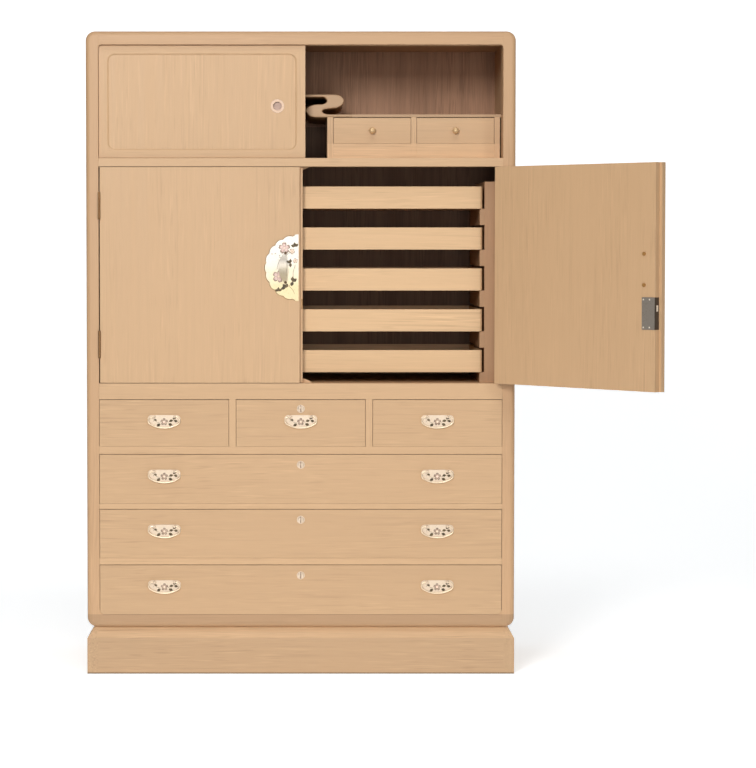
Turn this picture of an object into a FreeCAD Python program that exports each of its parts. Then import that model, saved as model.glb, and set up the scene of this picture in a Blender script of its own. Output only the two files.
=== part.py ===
import FreeCAD, Part
import math
import os
import Sketcher

# Tansu chest: a case on a plinth, two sliding doors over a pair of hinged doors with trays, and six drawers.
# Millimetres, +Z up, the front faces -Y, origin under the middle of the plinth.

Vector = FreeCAD.Vector
doc = FreeCAD.newDocument("tansu_chest")

# Driving dimensions, in millimetres and degrees
DIMENSIONS = [
    ("case_wide", 1180, "overall width"),
    ("case_deep", 490, "overall depth of case and plinth"),
    ("case_tall", 1770, "overall height"),
    ("wall", 20, "thickness of side, top and bottom panels"),
    ("panel_lap", 10, "how far top and bottom panels enter the sides"),
    ("back_thick", 8, "thickness of the back panel"),
    ("back_inset", 4, "back panel's outer face in from the back"),
    ("back_lap", 8, "how far the back panel enters the sides"),
    ("frame_thick", 24, "thickness of stiles and rails"),
    ("stile_wide", 35, "width of a stile"),
    ("corner_round", 26, "radius of the case's corners seen from the front"),
    ("edge_round", 13, "radius round the edge of the case's front"),
    ("dado", 5, "how far shelf boards enter the sides"),
    ("board_thick", 10, "thickness of drawer floors and of the upper shelf board"),
    ("plinth_tall", 130, "height of the plinth"),
    ("plinth_thick", 30, "thickness of the plinth boards"),
    ("bevel_in", 20, "depth of the plinth's bevel"),
    ("bevel_tall", 31, "height of the plinth's bevel"),
    ("block_wide", 45, "width of a corner block in the plinth"),
    ("block_tall", 90, "height of a corner block in the plinth"),
    ("bottom_rail_tall", 35, "height of the bottom rail"),
    ("bottom_row_share", 138, "bottom drawer's opening, in shares of the free height"),
    ("low_rail_tall", 18, "height of the rail over the bottom drawer"),
    ("middle_row_share", 136, "middle wide drawer's opening, in shares"),
    ("middle_rail_tall", 15, "height of the rail over the middle wide drawer"),
    ("top_row_share", 137, "top wide drawer's opening, in shares"),
    ("high_rail_tall", 21, "height of the rail over the top wide drawer"),
    ("small_row_share", 130, "small drawers' openings, in shares"),
    ("waist_tall", 44, "height of the rail under the hinged doors"),
    ("waist_board", 15, "thickness of the board under the trays"),
    ("door_share", 596, "hinged doors' opening, in shares"),
    ("upper_rail_tall", 23, "height of the rail over the hinged doors"),
    ("upper_rail_deep", 48, "depth of the grooved upper rail"),
    ("slide_share", 310, "sliding doors' opening, in shares"),
    ("top_rail_tall", 37, "height of the top rail"),
    ("ear_round", 8, "radius in the top corners of the sliding doors' opening"),
    ("foot_round", 12, "radius in the bottom corners of the bottom drawer's opening"),
    ("ear_tip", 1, "thickness left at the tip of a corner ear"),
    ("partition_thick", 19, "thickness of a small-drawer partition"),
    ("guide_tall", 30, "height of a drawer guide"),
    ("runner_wide", 20, "width of a bottom drawer runner"),
    ("jamb_deep", 46, "depth of a jamb strip beside the sliding doors"),
    ("leaf_past", 12.5, "how far a sliding door runs past the centre"),
    ("leaf_thick", 14, "thickness of a sliding door"),
    ("leaf_inset", 8, "front sliding door in from the front"),
    ("leaf_apart", 4, "space between the two sliding doors"),
    ("leaf_edge", 0.5, "sliding door's end clear of the stile"),
    ("leaf_under", 1, "sliding door's body clear of the lower rail"),
    ("leaf_over", 3, "sliding door's body clear of the top rail"),
    ("tongue_thick", 7, "thickness of a sliding door's tongues"),
    ("groove_side", 0.5, "side clearance of a tongue in its groove"),
    ("low_groove", 3, "depth of the lower grooves"),
    ("high_groove", 10, "depth of the upper grooves"),
    ("high_tongue", 6, "how far a tongue stands into the upper groove"),
    ("leaf_frame", 27, "margin round a sliding door's sunk field, at its sides"),
    ("leaf_band", 24, "margin over a sliding door's sunk field"),
    ("leaf_field", 3, "depth of the sunk field"),
    ("field_slope", 3.4, "width of the slope round the sunk field"),
    ("slope_angle", 55, "lean of the slope round the sunk field, from square"),
    ("leaf_rebate", 8, "overlap of a sliding door's frame and its panel"),
    ("field_round", 18, "corner radius of the sunk field"),
    ("leaf_pull_at", 76.4, "centre of a round pull from the sliding door's end"),
    ("leaf_pull_share", 141.6, "centre of a round pull over the sliding door's foot, in shares"),
    ("leaf_pull_cup", 13, "radius of a round pull's cup"),
    ("leaf_pull_rim", 19, "radius of a round pull's rim"),
    ("leaf_pull_deep", 8.5, "depth of a round pull's cup"),
    ("sheet_metal", 1.2, "thickness of thin sheet fittings"),
    ("shelf_inset", 70, "staggered shelves and small box in from the front"),
    ("shelf_rise", 54.7, "top of the upper staggered shelf over the lower one's"),
    ("shelf_thick", 6.2, "thickness of the upper staggered shelf"),
    ("ledge_share", 123, "top of the lower staggered shelf over the upper rail, in shares"),
    ("ledge_thick", 7.7, "thickness of the lower staggered shelf"),
    ("scroll_past", 59.3, "how far the scroll stands out past the small box"),
    ("scroll_wide", 105, "width of the scroll over its lobes"),
    ("notch_left_deep", 58.7, "depth of the scroll's left notch"),
    ("notch_left_rise", 26.6, "lower side of the left notch over the lower shelf"),
    ("notch_right_deep", 62.3, "depth of the scroll's right notch"),
    ("notch_right_tall", 17.4, "height of the scroll's right notch"),
    ("scroll_stub", 22, "how far each stub of the scroll runs past its lobe"),
    ("box_ratio", 0.129, "left face of the small box, as a part of half the width inside"),
    ("box_left_thick", 16.5, "thickness of the small box's left side"),
    ("box_middle_thick", 15, "thickness of the small box's divider"),
    ("box_clear", 18, "small box clear of the case's side"),
    ("box_right_thick", 15.6, "thickness of the small box's right side"),
    ("box_rail_tall", 42, "height of the small box's base rail"),
    ("inner_drawer_behind", 33, "space behind a drawer in the small box"),
    ("inner_drawer_top", 2, "gap over a drawer in the small box"),
    ("inner_front", 14, "thickness of an inner drawer's front"),
    ("inner_side", 8, "thickness of an inner drawer's sides"),
    ("knob_radius", 9, "radius of an inner drawer's knob"),
    ("knob_out", 17, "how far the knob stands out"),
    ("knob_bell", 9, "length of the knob's flared end"),
    ("knob_dome", 6.3, "height of the knob's dome"),
    ("knob_neck", 4, "radius of the knob's neck"),
    ("knob_foot", 6.8, "radius of the knob's foot"),
    ("knob_foot_tall", 1.5, "thickness of the knob's foot"),
    ("knob_foot_slope", 1, "length of the slope from foot to neck"),
    ("drawer_behind", 28, "space behind a drawer"),
    ("drawer_front", 20, "thickness of a drawer's front"),
    ("drawer_side", 12, "thickness of a drawer's sides and back"),
    ("drawer_bottom", 8, "thickness of a drawer's bottom"),
    ("drawer_drop", 6, "drawer's sides below the top of its front"),
    ("side_gap", 1, "gap beside a drawer"),
    ("top_gap", 1.5, "gap over a drawer"),
    ("rest_gap", 0.3, "play between a sliding piece and what it rests on"),
    ("door_thick", 30, "thickness of a hinged door"),
    ("door_gap", 1.5, "gap over and under a hinged door"),
    ("door_edge", 3, "gap at a hinged door's hinge side"),
    ("left_meet", 3, "left door's front edge from the centre"),
    ("right_meet", 2, "right door's front edge from the centre"),
    ("left_lip", 5, "left door's rear lip past the centre"),
    ("right_bend", 6, "right door's rear edge past the centre"),
    ("lip_front", 13, "thickness of the right door's front lip"),
    ("lip_gap", 0.5, "gap between the two doors' lips"),
    ("right_door_angle", 134.4, "degrees that the right door stands open"),
    ("knuckle_radius", 3.5, "radius of a hinge knuckle"),
    ("knuckle_clear", 0.3, "knuckle clear of the door's front"),
    ("knuckle_apart", 0.2, "gap between knuckles"),
    ("pin_radius", 1.5, "radius of a hinge pin"),
    ("pin_play", 0.06, "radial play of a pin in its bore"),
    ("hinge_tall", 76, "height of a hinge"),
    ("hinge_thick", 1.3, "thickness of a hinge leaf"),
    ("hinge_deep", 22, "depth of a hinge leaf"),
    ("hinge_from_end", 68, "hinge from the door's end"),
    ("stop_wide", 62, "width of the lower door stop"),
    ("stop_tall", 12, "height of the lower door stop"),
    ("stop_thick", 12, "thickness of a door stop"),
    ("high_stop_wide", 46, "width of the upper door stop"),
    ("high_stop_tall", 8, "height of the upper door stop"),
    ("tray_inset", 42, "trays in from the front"),
    ("tray_behind", 43, "space behind a tray"),
    ("tray_tall", 61, "height of a tray"),
    ("tray_over", 54, "space over the top tray"),
    ("tray_first", 28.6, "lowest tray over the waist board"),
    ("tray_front", 12, "thickness of a tray's front"),
    ("tray_side", 9, "thickness of a tray's sides and back"),
    ("tray_bottom", 6, "thickness of a tray's bottom"),
    ("tray_round", 8, "radius of a tray front's upright edges"),
    ("post_clear", 5.5, "tray clear of the rack's posts"),
    ("post_wide", 62.2, "width of a rack post"),
    ("post_thick", 20, "thickness of a rack post, front to back"),
    ("post_over", 13.3, "rack post over the top tray"),
    ("rack_board", 12, "thickness of a rack's side board"),
    ("bearer_reach", 13, "how far a tray runner stands out of the rack"),
    ("bearer_tall", 45, "height of a tray runner"),
    ("bearer_round", 7, "radius of a tray runner's nose"),
    ("bearer_nose", 12, "length of a tray runner's nose"),
    ("plate_share", 318.3, "centre of the scalloped plates over the waist, in shares"),
    ("plate_at", 9, "centre of a scalloped plate from the chest's centre"),
    ("plate_cut", 5.8, "straight edge of a scalloped plate from the centre"),
    ("plate_notch", 88, "radius of a scalloped plate at its notches"),
    ("plate_lobe", 91.5, "radius of a scalloped plate at its lobes"),
    ("plate_thick", 1.6, "thickness of the decorated plates"),
    ("scallops", 20, "scallops in the full circle"),
    ("pull_at", 42, "bolts of a door pull from the centre"),
    ("pull_bolts", 80.6, "distance between the bolts of a door pull"),
    ("pull_end", 5, "door pull's tip past its bolt"),
    ("pull_wide", 22, "width of a door pull"),
    ("pull_edge", 2.8, "door pull's straight edge past its bolts"),
    ("pull_rise", 18, "how far a door pull arches"),
    ("pull_thick", 2.5, "thickness of a door pull"),
    ("pull_foot", 3.5, "length of a door pull's foot"),
    ("bolt_radius", 2, "radius of a fitting's bolt"),
    ("head_radius", 3.6, "radius of a bolt's head"),
    ("head_thick", 2, "thickness of a bolt's head"),
    ("head_high", 4, "underside of a bolt's head over the plate"),
    ("nut_radius", 5, "radius of a bolt's nut"),
    ("nut_thick", 3, "thickness of a bolt's nut"),
    ("lock_wide", 42.5, "width of the door lock's plate"),
    ("lock_tall", 84, "height of the door lock's plate"),
    ("lock_drop", 113.8, "centre of the door lock's plate under the scalloped plates' centre"),
    ("lock_case_thick", 13.5, "thickness of the door lock's case"),
    ("lock_edge_wide", 15, "width of the door lock's edge plate"),
    ("bolt_rise", 13.5, "centre of the door lock's bolt over the centre of its plate"),
    ("bolt_tall", 16, "height of the door lock's bolt"),
    ("bolt_thick", 7, "thickness of the door lock's bolt"),
    ("bolt_long", 30, "length of the door lock's bolt"),
    ("bolt_proud", 0.3, "bolt proud of the edge plate when drawn back"),
    ("strike_tall", 28, "height of the strike plate"),
    ("strike_leg", 3.5, "width of the strike plate's front leg"),
    ("handle_low", 62, "centre of a drop handle's plate under the drawer opening's top"),
    ("handle_plate_flat", 68, "flat top of a drop handle's plate"),
    ("handle_plate_wide", 90.8, "width of a drop handle's plate"),
    ("handle_plate_tall", 37.4, "height of a drop handle's plate"),
    ("handle_plate_bulge", 11, "widest line of a drop handle's plate under its top"),
    ("handle_plate_end", 11.5, "radius of the ends of a drop handle's plate"),
    ("eye_at", 28, "eye of a drop handle from its middle"),
    ("eye_low", 4.5, "pivot of a drop handle under its plate's top"),
    ("eye_out", 5.7, "pivot of a drop handle out of the drawer's front"),
    ("eye_radius", 4, "radius of an eye"),
    ("eye_stem", 2.2, "radius of an eye's stem"),
    ("bail_radius", 2, "radius of a bail's wire"),
    ("bail_half", 43.3, "half the width of a bail at its wire's centre"),
    ("bail_drop", 30.9, "bail's lowest wire centre under its pivot"),
    ("bail_corner", 11, "radius of a bail's corners"),
    ("bail_pin_end", 4.5, "how far a bail's pin runs in past the eye"),
    ("wide_lock_low", 29.7, "wide drawer's lock under the drawer opening's top"),
    ("small_lock_low", 26.1, "small drawer's lock under the drawer opening's top"),
    ("lock_ring", 11, "radius of a drawer lock's ring"),
    ("lock_barrel", 8, "radius of a drawer lock's barrel"),
    ("plug_radius", 6, "radius of a drawer lock's plug"),
    ("dome_radius", 9.2, "radius of a drawer lock's domed head"),
    ("dome_tall", 4, "height of a drawer lock's domed head"),
    ("dome_edge", 1, "thickness at the edge of a drawer lock's domed head"),
    ("slot_wide", 2.6, "width of a key slot"),
    ("slot_tall", 13, "height of a key slot"),
    ("slot_deep", 4, "depth of a key slot"),
    ("cam_reach", 33, "reach of a lock's cam"),
    ("cam_wide", 10, "width of a lock's cam"),
    ("cam_thick", 2, "thickness of a lock's cam"),
    ("cam_round", 2, "corner radius of a lock's cam"),
    ("cam_behind", 5, "cam behind the drawer's front"),
]
TRAY_COUNT = 5
KNUCKLES = 5


class Size:
    """A dimension: its number now and the sheet expression that drives it"""

    def __init__(self, text, value):
        self.text = text
        self.value = value

    def __add__(self, other):
        return Size(f"({self.text} + {text_of(other)})", self.value + value_of(other))

    def __radd__(self, other):
        return Size(f"({text_of(other)} + {self.text})", value_of(other) + self.value)

    def __sub__(self, other):
        return Size(f"({self.text} - {text_of(other)})", self.value - value_of(other))

    def __rsub__(self, other):
        return Size(f"({text_of(other)} - {self.text})", value_of(other) - self.value)

    def __mul__(self, other):
        return Size(f"({self.text} * {text_of(other)})", self.value * value_of(other))

    def __rmul__(self, other):
        return Size(f"({text_of(other)} * {self.text})", value_of(other) * self.value)

    def __truediv__(self, other):
        return Size(f"({self.text} / {text_of(other)})", self.value / value_of(other))

    def __rtruediv__(self, other):
        return Size(f"({text_of(other)} / {self.text})", value_of(other) / self.value)

    def __neg__(self):
        return Size(f"(0 - {self.text})", -self.value)


def text_of(amount):
    return amount.text if isinstance(amount, Size) else f"{amount:g}"


def value_of(amount):
    return amount.value if isinstance(amount, Size) else float(amount)


def sine(degrees):
    return Size(f"sin({degrees.text})", math.sin(math.radians(degrees.value)))


def cosine(degrees):
    return Size(f"cos({degrees.text})", math.cos(math.radians(degrees.value)))


def bow_radius(chord, rise):
    """Radius of the arc over a chord with a given rise"""
    return chord * chord / (8 * rise) + rise / 2


class Sheet:
    """The spreadsheet of driving dimensions, each read back as a Size by its name"""

    def __init__(self, rows):
        self.cells = doc.addObject("Spreadsheet::Sheet", "sizes")
        self.row = 0
        for alias, value, note in rows:
            self.add(alias, str(value), float(value), note)

    def add(self, alias, content, value, note):
        self.row += 1
        self.cells.set(f"A{self.row}", alias)
        self.cells.set(f"B{self.row}", content)
        self.cells.setAlias(f"B{self.row}", alias)
        self.cells.set(f"C{self.row}", note)
        size = Size(f"sizes.{alias}", value)
        setattr(self, alias, size)
        return size

    def derive(self, alias, amount, note):
        """Adds a size that the sheet works out from the others"""
        return self.add(alias, "=" + amount.text.replace("sizes.", ""), amount.value, note)


s = Sheet(DIMENSIONS)
doc.recompute()
nodes = []


# Building blocks

def bind(thing, path, amount):
    """Ties a property to its sheet expression"""
    thing.setExpression(path, text_of(amount))


def place(thing, at):
    for axis, amount in zip("xyz", at):
        bind(thing, "Placement.Base." + axis, amount)
    return thing


def block(x, y, z):
    """A box between two planes on each axis"""
    box = doc.addObject("Part::Box", "board")
    for path, (low, high) in (("Length", x), ("Width", y), ("Height", z)):
        bind(box, path, high - low)
    return place(box, (x[0], y[0], z[0]))


AXES = {"X": Vector(1, 0, 0), "Y": Vector(0, 1, 0), "Z": Vector(0, 0, 1)}


def rod(axis, start, radius, length):
    """A cylinder that runs from start along +X, +Y or +Z"""
    cylinder = doc.addObject("Part::Cylinder", "rod")
    bind(cylinder, "Radius", radius)
    bind(cylinder, "Height", length)
    cylinder.Placement.Rotation = FreeCAD.Rotation(AXES["Z"], AXES[axis])
    return place(cylinder, start)


def ball(centre, radius):
    sphere = doc.addObject("Part::Sphere", "ball")
    bind(sphere, "Radius", radius)
    return place(sphere, centre)


def fuse(*pieces):
    joined = doc.addObject("Part::MultiFuse", "joined")
    joined.Shapes = list(pieces)
    joined.Refine = True
    return joined


def cut(base, *tools):
    tool = tools[0] if len(tools) == 1 else fuse(*tools)
    left = doc.addObject("Part::Cut", "cut")
    left.Base = base
    left.Tool = tool
    left.Refine = True
    return left


def common(first, second):
    shared = doc.addObject("Part::Common", "shared")
    shared.Base = first
    shared.Tool = second
    return shared


def node(name, *pieces):
    """A named sub-part that holds its pieces as separate solids"""
    group = doc.addObject("Part::Compound", name)
    group.Links = list(pieces)
    group.Label = name
    nodes.append(group)
    return group


# Sketched profiles

def origin_plane(body, plane):
    return [item for item in body.Origin.OriginFeatures if item.Role == plane + "_Plane"][0]


def point(x, y):
    return Vector(value_of(x), value_of(y), 0)


def new_sketch(body, plane):
    sketch = body.newObject("Sketcher::SketchObject", body.Name + "_sketch")
    sketch.AttachmentSupport = [(origin_plane(body, plane), "")]
    sketch.MapMode = "FlatFace"
    return sketch


def measure(sketch, kind, amount, *where):
    """Adds a driving dimension to a sketch and ties it to the sheet"""
    index = sketch.addConstraint(Sketcher.Constraint(kind, *where, value_of(amount)))
    bind(sketch, f"Constraints[{index}]", amount)


def pin_down(sketch, vertex, at):
    """Fixes a sketch vertex at a place from the sketch's origin"""
    measure(sketch, "DistanceX", at[0], -1, 1, *vertex)
    measure(sketch, "DistanceY", at[1], -1, 1, *vertex)


def circle(sketch, centre, radius):
    index = sketch.addGeometry(Part.Circle(point(*centre), AXES["Z"], value_of(radius)))
    pin_down(sketch, (index, 3), centre)
    measure(sketch, "Radius", radius, index)


def read_steps(steps):
    """Corners and the sides after them, counter-clockwise; a side is an arc's radius or None"""
    corners = []
    sides = []
    for step in steps:
        if isinstance(step, tuple):
            corners.append(step)
            sides.append(None)
        else:
            sides[-1] = step
    points = [point(*corner[:2]) for corner in corners]
    count = len(points)
    area = sum(points[i].x * points[(i + 1) % count].y - points[(i + 1) % count].x * points[i].y
               for i in range(count))
    if area < 0:
        corners = corners[::-1]
        points = points[::-1]
        sides = [sides[(count - 2 - i) % count] for i in range(count)]
    return corners, points, sides


def arc_between(start, end, centre):
    """A counter-clockwise arc about a centre"""
    first = math.atan2(start.y - centre.y, start.x - centre.x)
    last = math.atan2(end.y - centre.y, end.x - centre.x)
    if last < first:
        last += 2 * math.pi
    return Part.ArcOfCircle(Part.Circle(centre, AXES["Z"], (start - centre).Length), first, last)


def outline(sketch, steps):
    """A closed outline. A corner is (x, y), or (x, y, radius) where it is rounded. A radius after a
    corner bends the side that follows: outward if it is positive, inward if it is negative."""
    corners, points, sides = read_steps(steps)
    count = len(points)
    enter = list(points)
    leave = list(points)
    for i, corner in enumerate(corners):
        if len(corner) == 3:
            back = (points[i - 1] - points[i]).normalize()
            ahead = (points[(i + 1) % count] - points[i]).normalize()
            reach = value_of(corner[2]) / math.tan(back.getAngle(ahead) / 2)
            enter[i] = points[i] + back * reach
            leave[i] = points[i] + ahead * reach
    drawn = []
    for i, side in enumerate(sides):
        start = leave[i]
        end = enter[(i + 1) % count]
        if side is None:
            drawn.append((sketch.addGeometry(Part.LineSegment(start, end)), 1, 2))
            continue
        radius = abs(value_of(side))
        chord = end - start
        inward = Vector(-chord.y, chord.x, 0).normalize()
        depth = math.sqrt(max(radius ** 2 - (chord.Length / 2) ** 2, 0))
        middle = (start + end) * 0.5
        if value_of(side) > 0:
            arc = arc_between(start, end, middle + inward * depth)
            drawn.append((sketch.addGeometry(arc), 1, 2))
        else:
            arc = arc_between(end, start, middle - inward * depth)
            drawn.append((sketch.addGeometry(arc), 2, 1))
        measure(sketch, "Radius", side if value_of(side) > 0 else -side, drawn[-1][0])
    for i, corner in enumerate(corners):
        before = drawn[i - 1]
        after = drawn[i]
        if len(corner) == 2:
            sketch.addConstraint(Sketcher.Constraint("Coincident", before[0], before[2], after[0], after[1]))
            pin_down(sketch, (after[0], after[1]), corner)
            continue
        round_corner(sketch, corner, points[i], enter[i], leave[i], before, after)


def round_corner(sketch, corner, point, enter, leave, before, after):
    """A tangent arc between two straight sides, held by the corner where the sides would meet"""
    back = (enter - point).normalize()
    ahead = (leave - point).normalize()
    inward = (back + ahead).normalize()
    half_angle = back.getAngle(ahead) / 2
    centre = point + inward * (value_of(corner[2]) / math.sin(half_angle))
    convex = (enter - point).cross(leave - point).z < 0
    if convex:
        index = sketch.addGeometry(arc_between(enter, leave, centre))
        ends = (1, 2)
    else:
        index = sketch.addGeometry(arc_between(leave, enter, centre))
        ends = (2, 1)
    mark = sketch.addGeometry(Part.Point(point), True)
    sketch.addConstraint([
        Sketcher.Constraint("Tangent", before[0], before[2], index, ends[0]),
        Sketcher.Constraint("Tangent", index, ends[1], after[0], after[1]),
        Sketcher.Constraint("PointOnObject", mark, 1, before[0]),
        Sketcher.Constraint("PointOnObject", mark, 1, after[0]),
    ])
    pin_down(sketch, (mark, 1), corner)
    measure(sketch, "Radius", corner[2], index)


def new_body(name):
    return doc.addObject("PartDesign::Body", name)


def pad(body, sketch, length, name="pad"):
    feature = body.newObject("PartDesign::Pad", body.Name + "_" + name)
    feature.Profile = sketch
    bind(feature, "Length", length)
    return feature


def prism(plane, steps, length, at=(0, 0, 0)):
    """An outline drawn on XY, XZ or YZ and padded along +Z, +Y or +X"""
    body = new_body("profile")
    sketch = new_sketch(body, plane)
    outline(sketch, steps)
    feature = pad(body, sketch, length)
    feature.Reversed = plane == "XZ"
    return place(body, at)


def turned(steps, at):
    """An outline drawn on the plan, x as radius and y as depth, turned about a front-to-back axis"""
    body = new_body("turning")
    sketch = new_sketch(body, "XY")
    outline(sketch, steps)
    feature = body.newObject("PartDesign::Revolution", body.Name + "_turn")
    feature.Profile = sketch
    feature.ReferenceAxis = (sketch, ["V_Axis"])
    feature.Angle = 360
    return place(body, at)


# Main planes of the case. The openings share the height that the plinth and the rails leave free.
half = s.derive("half", s.case_wide / 2, "half the width of the case")
front = s.derive("front", -s.case_deep / 2, "front face")
rear = s.derive("rear", s.case_deep / 2, "back of the sides")
open_half = s.derive("open_half", half - s.stile_wide, "half the width between the stiles")
wall_half = s.derive("wall_half", half - s.wall, "half the width between the sides")
back_face = s.derive("back_face", rear - s.back_inset - s.back_thick, "inner face of the back panel")
frame_back = s.derive("frame_back", front + s.frame_thick, "back of the front frame")
rails = (s.bottom_rail_tall + s.low_rail_tall + s.middle_rail_tall + s.high_rail_tall + s.waist_tall
         + s.upper_rail_tall + s.top_rail_tall)
shares = (s.bottom_row_share + s.middle_row_share + s.top_row_share + s.small_row_share + s.door_share
          + s.slide_share)
share = s.derive("share", (s.case_tall - s.plinth_tall - rails) / shares, "height of one share")
bottom_rail_top = s.derive("bottom_rail_top", s.plinth_tall + s.bottom_rail_tall,
                           "sill of the bottom drawer")
low_rail_low = s.derive("low_rail_low", bottom_rail_top + share * s.bottom_row_share,
                        "head of the bottom drawer")
middle_row_low = s.derive("middle_row_low", low_rail_low + s.low_rail_tall, "sill of the middle wide drawer")
middle_rail_low = s.derive("middle_rail_low", middle_row_low + share * s.middle_row_share,
                           "head of the middle wide drawer")
top_row_low = s.derive("top_row_low", middle_rail_low + s.middle_rail_tall, "sill of the top wide drawer")
high_rail_low = s.derive("high_rail_low", top_row_low + share * s.top_row_share,
                         "head of the top wide drawer")
small_row_low = s.derive("small_row_low", high_rail_low + s.high_rail_tall, "sill of the small drawers")
waist_low = s.derive("waist_low", small_row_low + share * s.small_row_share, "head of the small drawers")
waist_top = s.derive("waist_top", waist_low + s.waist_tall, "sill of the hinged doors")
upper_rail_low = s.derive("upper_rail_low", waist_top + share * s.door_share, "head of the hinged doors")
upper_rail_top = s.derive("upper_rail_top", upper_rail_low + s.upper_rail_tall, "sill of the sliding doors")
slide_top = s.derive("slide_top", s.case_tall - s.top_rail_tall, "head of the sliding doors")
ceiling = s.derive("ceiling", s.case_tall - s.wall, "underside of the top panel")
ROWS = {
    "bottom": (bottom_rail_top, low_rail_low),
    "middle": (middle_row_low, middle_rail_low),
    "top": (top_row_low, high_rail_low),
    "small": (small_row_low, waist_low),
}
SHELF_BOARDS = {
    "low": (middle_row_low - s.board_thick, middle_row_low),
    "middle": (top_row_low - s.board_thick, top_row_low),
    "high": (small_row_low - s.board_thick, small_row_low),
    "waist": (waist_top - s.waist_board, waist_top),
    "upper": (upper_rail_top - s.board_thick, upper_rail_top),
}


# Plinth

def plinth_board(plan, bevelled):
    return common(prism("XY", plan, s.plinth_tall), bevelled)


def make_plinth():
    inner = half - s.plinth_thick
    inner_front = front + s.plinth_thick
    inner_rear = rear - s.plinth_thick
    bevel_low = s.plinth_tall - s.bevel_tall
    front_form = prism("YZ", [
        (front, 0), (inner_front, 0), (inner_front, s.plinth_tall),
        (front + s.bevel_in, s.plinth_tall), (front, bevel_low),
    ], s.case_wide, (-half, 0, 0))
    pieces = [plinth_board([(-half, front), (half, front), (inner, inner_front), (-inner, inner_front)],
                           front_form)]
    for side in (-1, 1):
        side_form = prism("XZ", [
            (side * half, 0), (side * inner, 0), (side * inner, s.plinth_tall),
            (side * (half - s.bevel_in), s.plinth_tall), (side * half, bevel_low),
        ], s.case_deep, (0, front, 0))
        pieces.append(plinth_board([(side * half, front), (side * inner, inner_front),
                                    (side * inner, rear), (side * half, rear)], side_form))
    pieces.append(block((-inner, inner), (inner_rear, rear), (0, s.plinth_tall)))
    pieces.append(block((-s.plinth_thick / 2, s.plinth_thick / 2), (inner_front, inner_rear),
                        (0, s.plinth_tall)))
    block_low = s.plinth_tall - s.block_tall
    for side in (-1, 1):
        for edge, step in ((inner_front, s.block_wide), (inner_rear, -s.block_wide)):
            corner = side * inner
            pieces.append(prism("XY", [
                (corner, edge), (corner - side * s.block_wide, edge), (corner, edge + step),
            ], s.block_tall, (0, 0, block_low)))
    node("plinth", *pieces)


# Case

def case_form():
    """The case's outer form, which every outer board is shaped to"""
    body = new_body("case_form")
    sketch = new_sketch(body, "XZ")
    outline(sketch, [
        (-half, s.plinth_tall, s.corner_round), (half, s.plinth_tall, s.corner_round),
        (half, s.case_tall, s.corner_round), (-half, s.case_tall, s.corner_round),
    ])
    feature = pad(body, sketch, s.case_deep)
    feature.Reversed = True
    place(body, (0, front, 0))
    doc.recompute()
    edge = [f"Edge{i}" for i, item in enumerate(feature.Shape.Edges, start=1)
            if item.BoundBox.YMax < 1e-3]
    soft = body.newObject("PartDesign::Fillet", "case_form_edge")
    soft.Base = (feature, edge[:1])
    bind(soft, "Radius", s.edge_round)
    return body


def make_panels(form):
    pieces = []
    for side in (-1, 1):
        def across(near, far):
            return (near, far) if side > 0 else (-far, -near)
        panel = block(across(wall_half, half), (frame_back, rear), (s.plinth_tall, s.case_tall))
        lap = across(wall_half, wall_half + s.panel_lap)
        dado = across(wall_half, wall_half + s.dado)
        tools = [
            block(lap, (frame_back, rear), (s.plinth_tall, s.plinth_tall + s.wall)),
            block(lap, (frame_back, rear), (ceiling, s.case_tall)),
            block(across(wall_half, wall_half + s.back_lap), (back_face, rear),
                  (s.plinth_tall, s.case_tall)),
        ]
        tools += [block(dado, (frame_back, back_face), board) for board in SHELF_BOARDS.values()]
        pieces.append(cut(common(panel, form), *tools))
    node("side_panels", *pieces)
    lap_half = wall_half + s.panel_lap
    back_notch = (back_face, rear)
    top = block((-lap_half, lap_half), (frame_back, rear), (ceiling, s.case_tall))
    top_notch = block((-lap_half, lap_half), back_notch, (ceiling, ceiling + s.back_lap))
    node("top_panel", cut(common(top, form), top_notch))
    floor = s.plinth_tall + s.wall
    bottom = block((-lap_half, lap_half), (frame_back, rear), (s.plinth_tall, floor))
    bottom_notch = block((-lap_half, lap_half), back_notch, (floor - s.back_lap, floor))
    node("bottom_panel", cut(common(bottom, form), bottom_notch))
    back_half = wall_half + s.back_lap
    node("back_panel", block((-back_half, back_half), (back_face, back_face + s.back_thick),
                             (floor - s.back_lap, ceiling + s.back_lap)))


front_tongue = front + s.leaf_inset + (s.leaf_thick - s.tongue_thick) / 2
rear_tongue = front_tongue + s.leaf_thick + s.leaf_apart


def groove(tongue, low, high, reach):
    """The space that a sliding door's tongue runs in"""
    return block((-reach, reach), (tongue - s.groove_side, tongue + s.tongue_thick + s.groove_side),
                 (low, high))


def ear(side, level, rise, radius, thick):
    """A rounded ear in a corner of an opening, up (1) or down (-1) from a rail"""
    inner = open_half - s.ear_tip - radius
    return prism("XZ", [
        (side * open_half, level), (side * open_half, level + rise * radius),
        (side * (open_half - s.ear_tip), level + rise * radius), -radius, (side * inner, level),
    ], thick, (0, front, 0))


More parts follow.
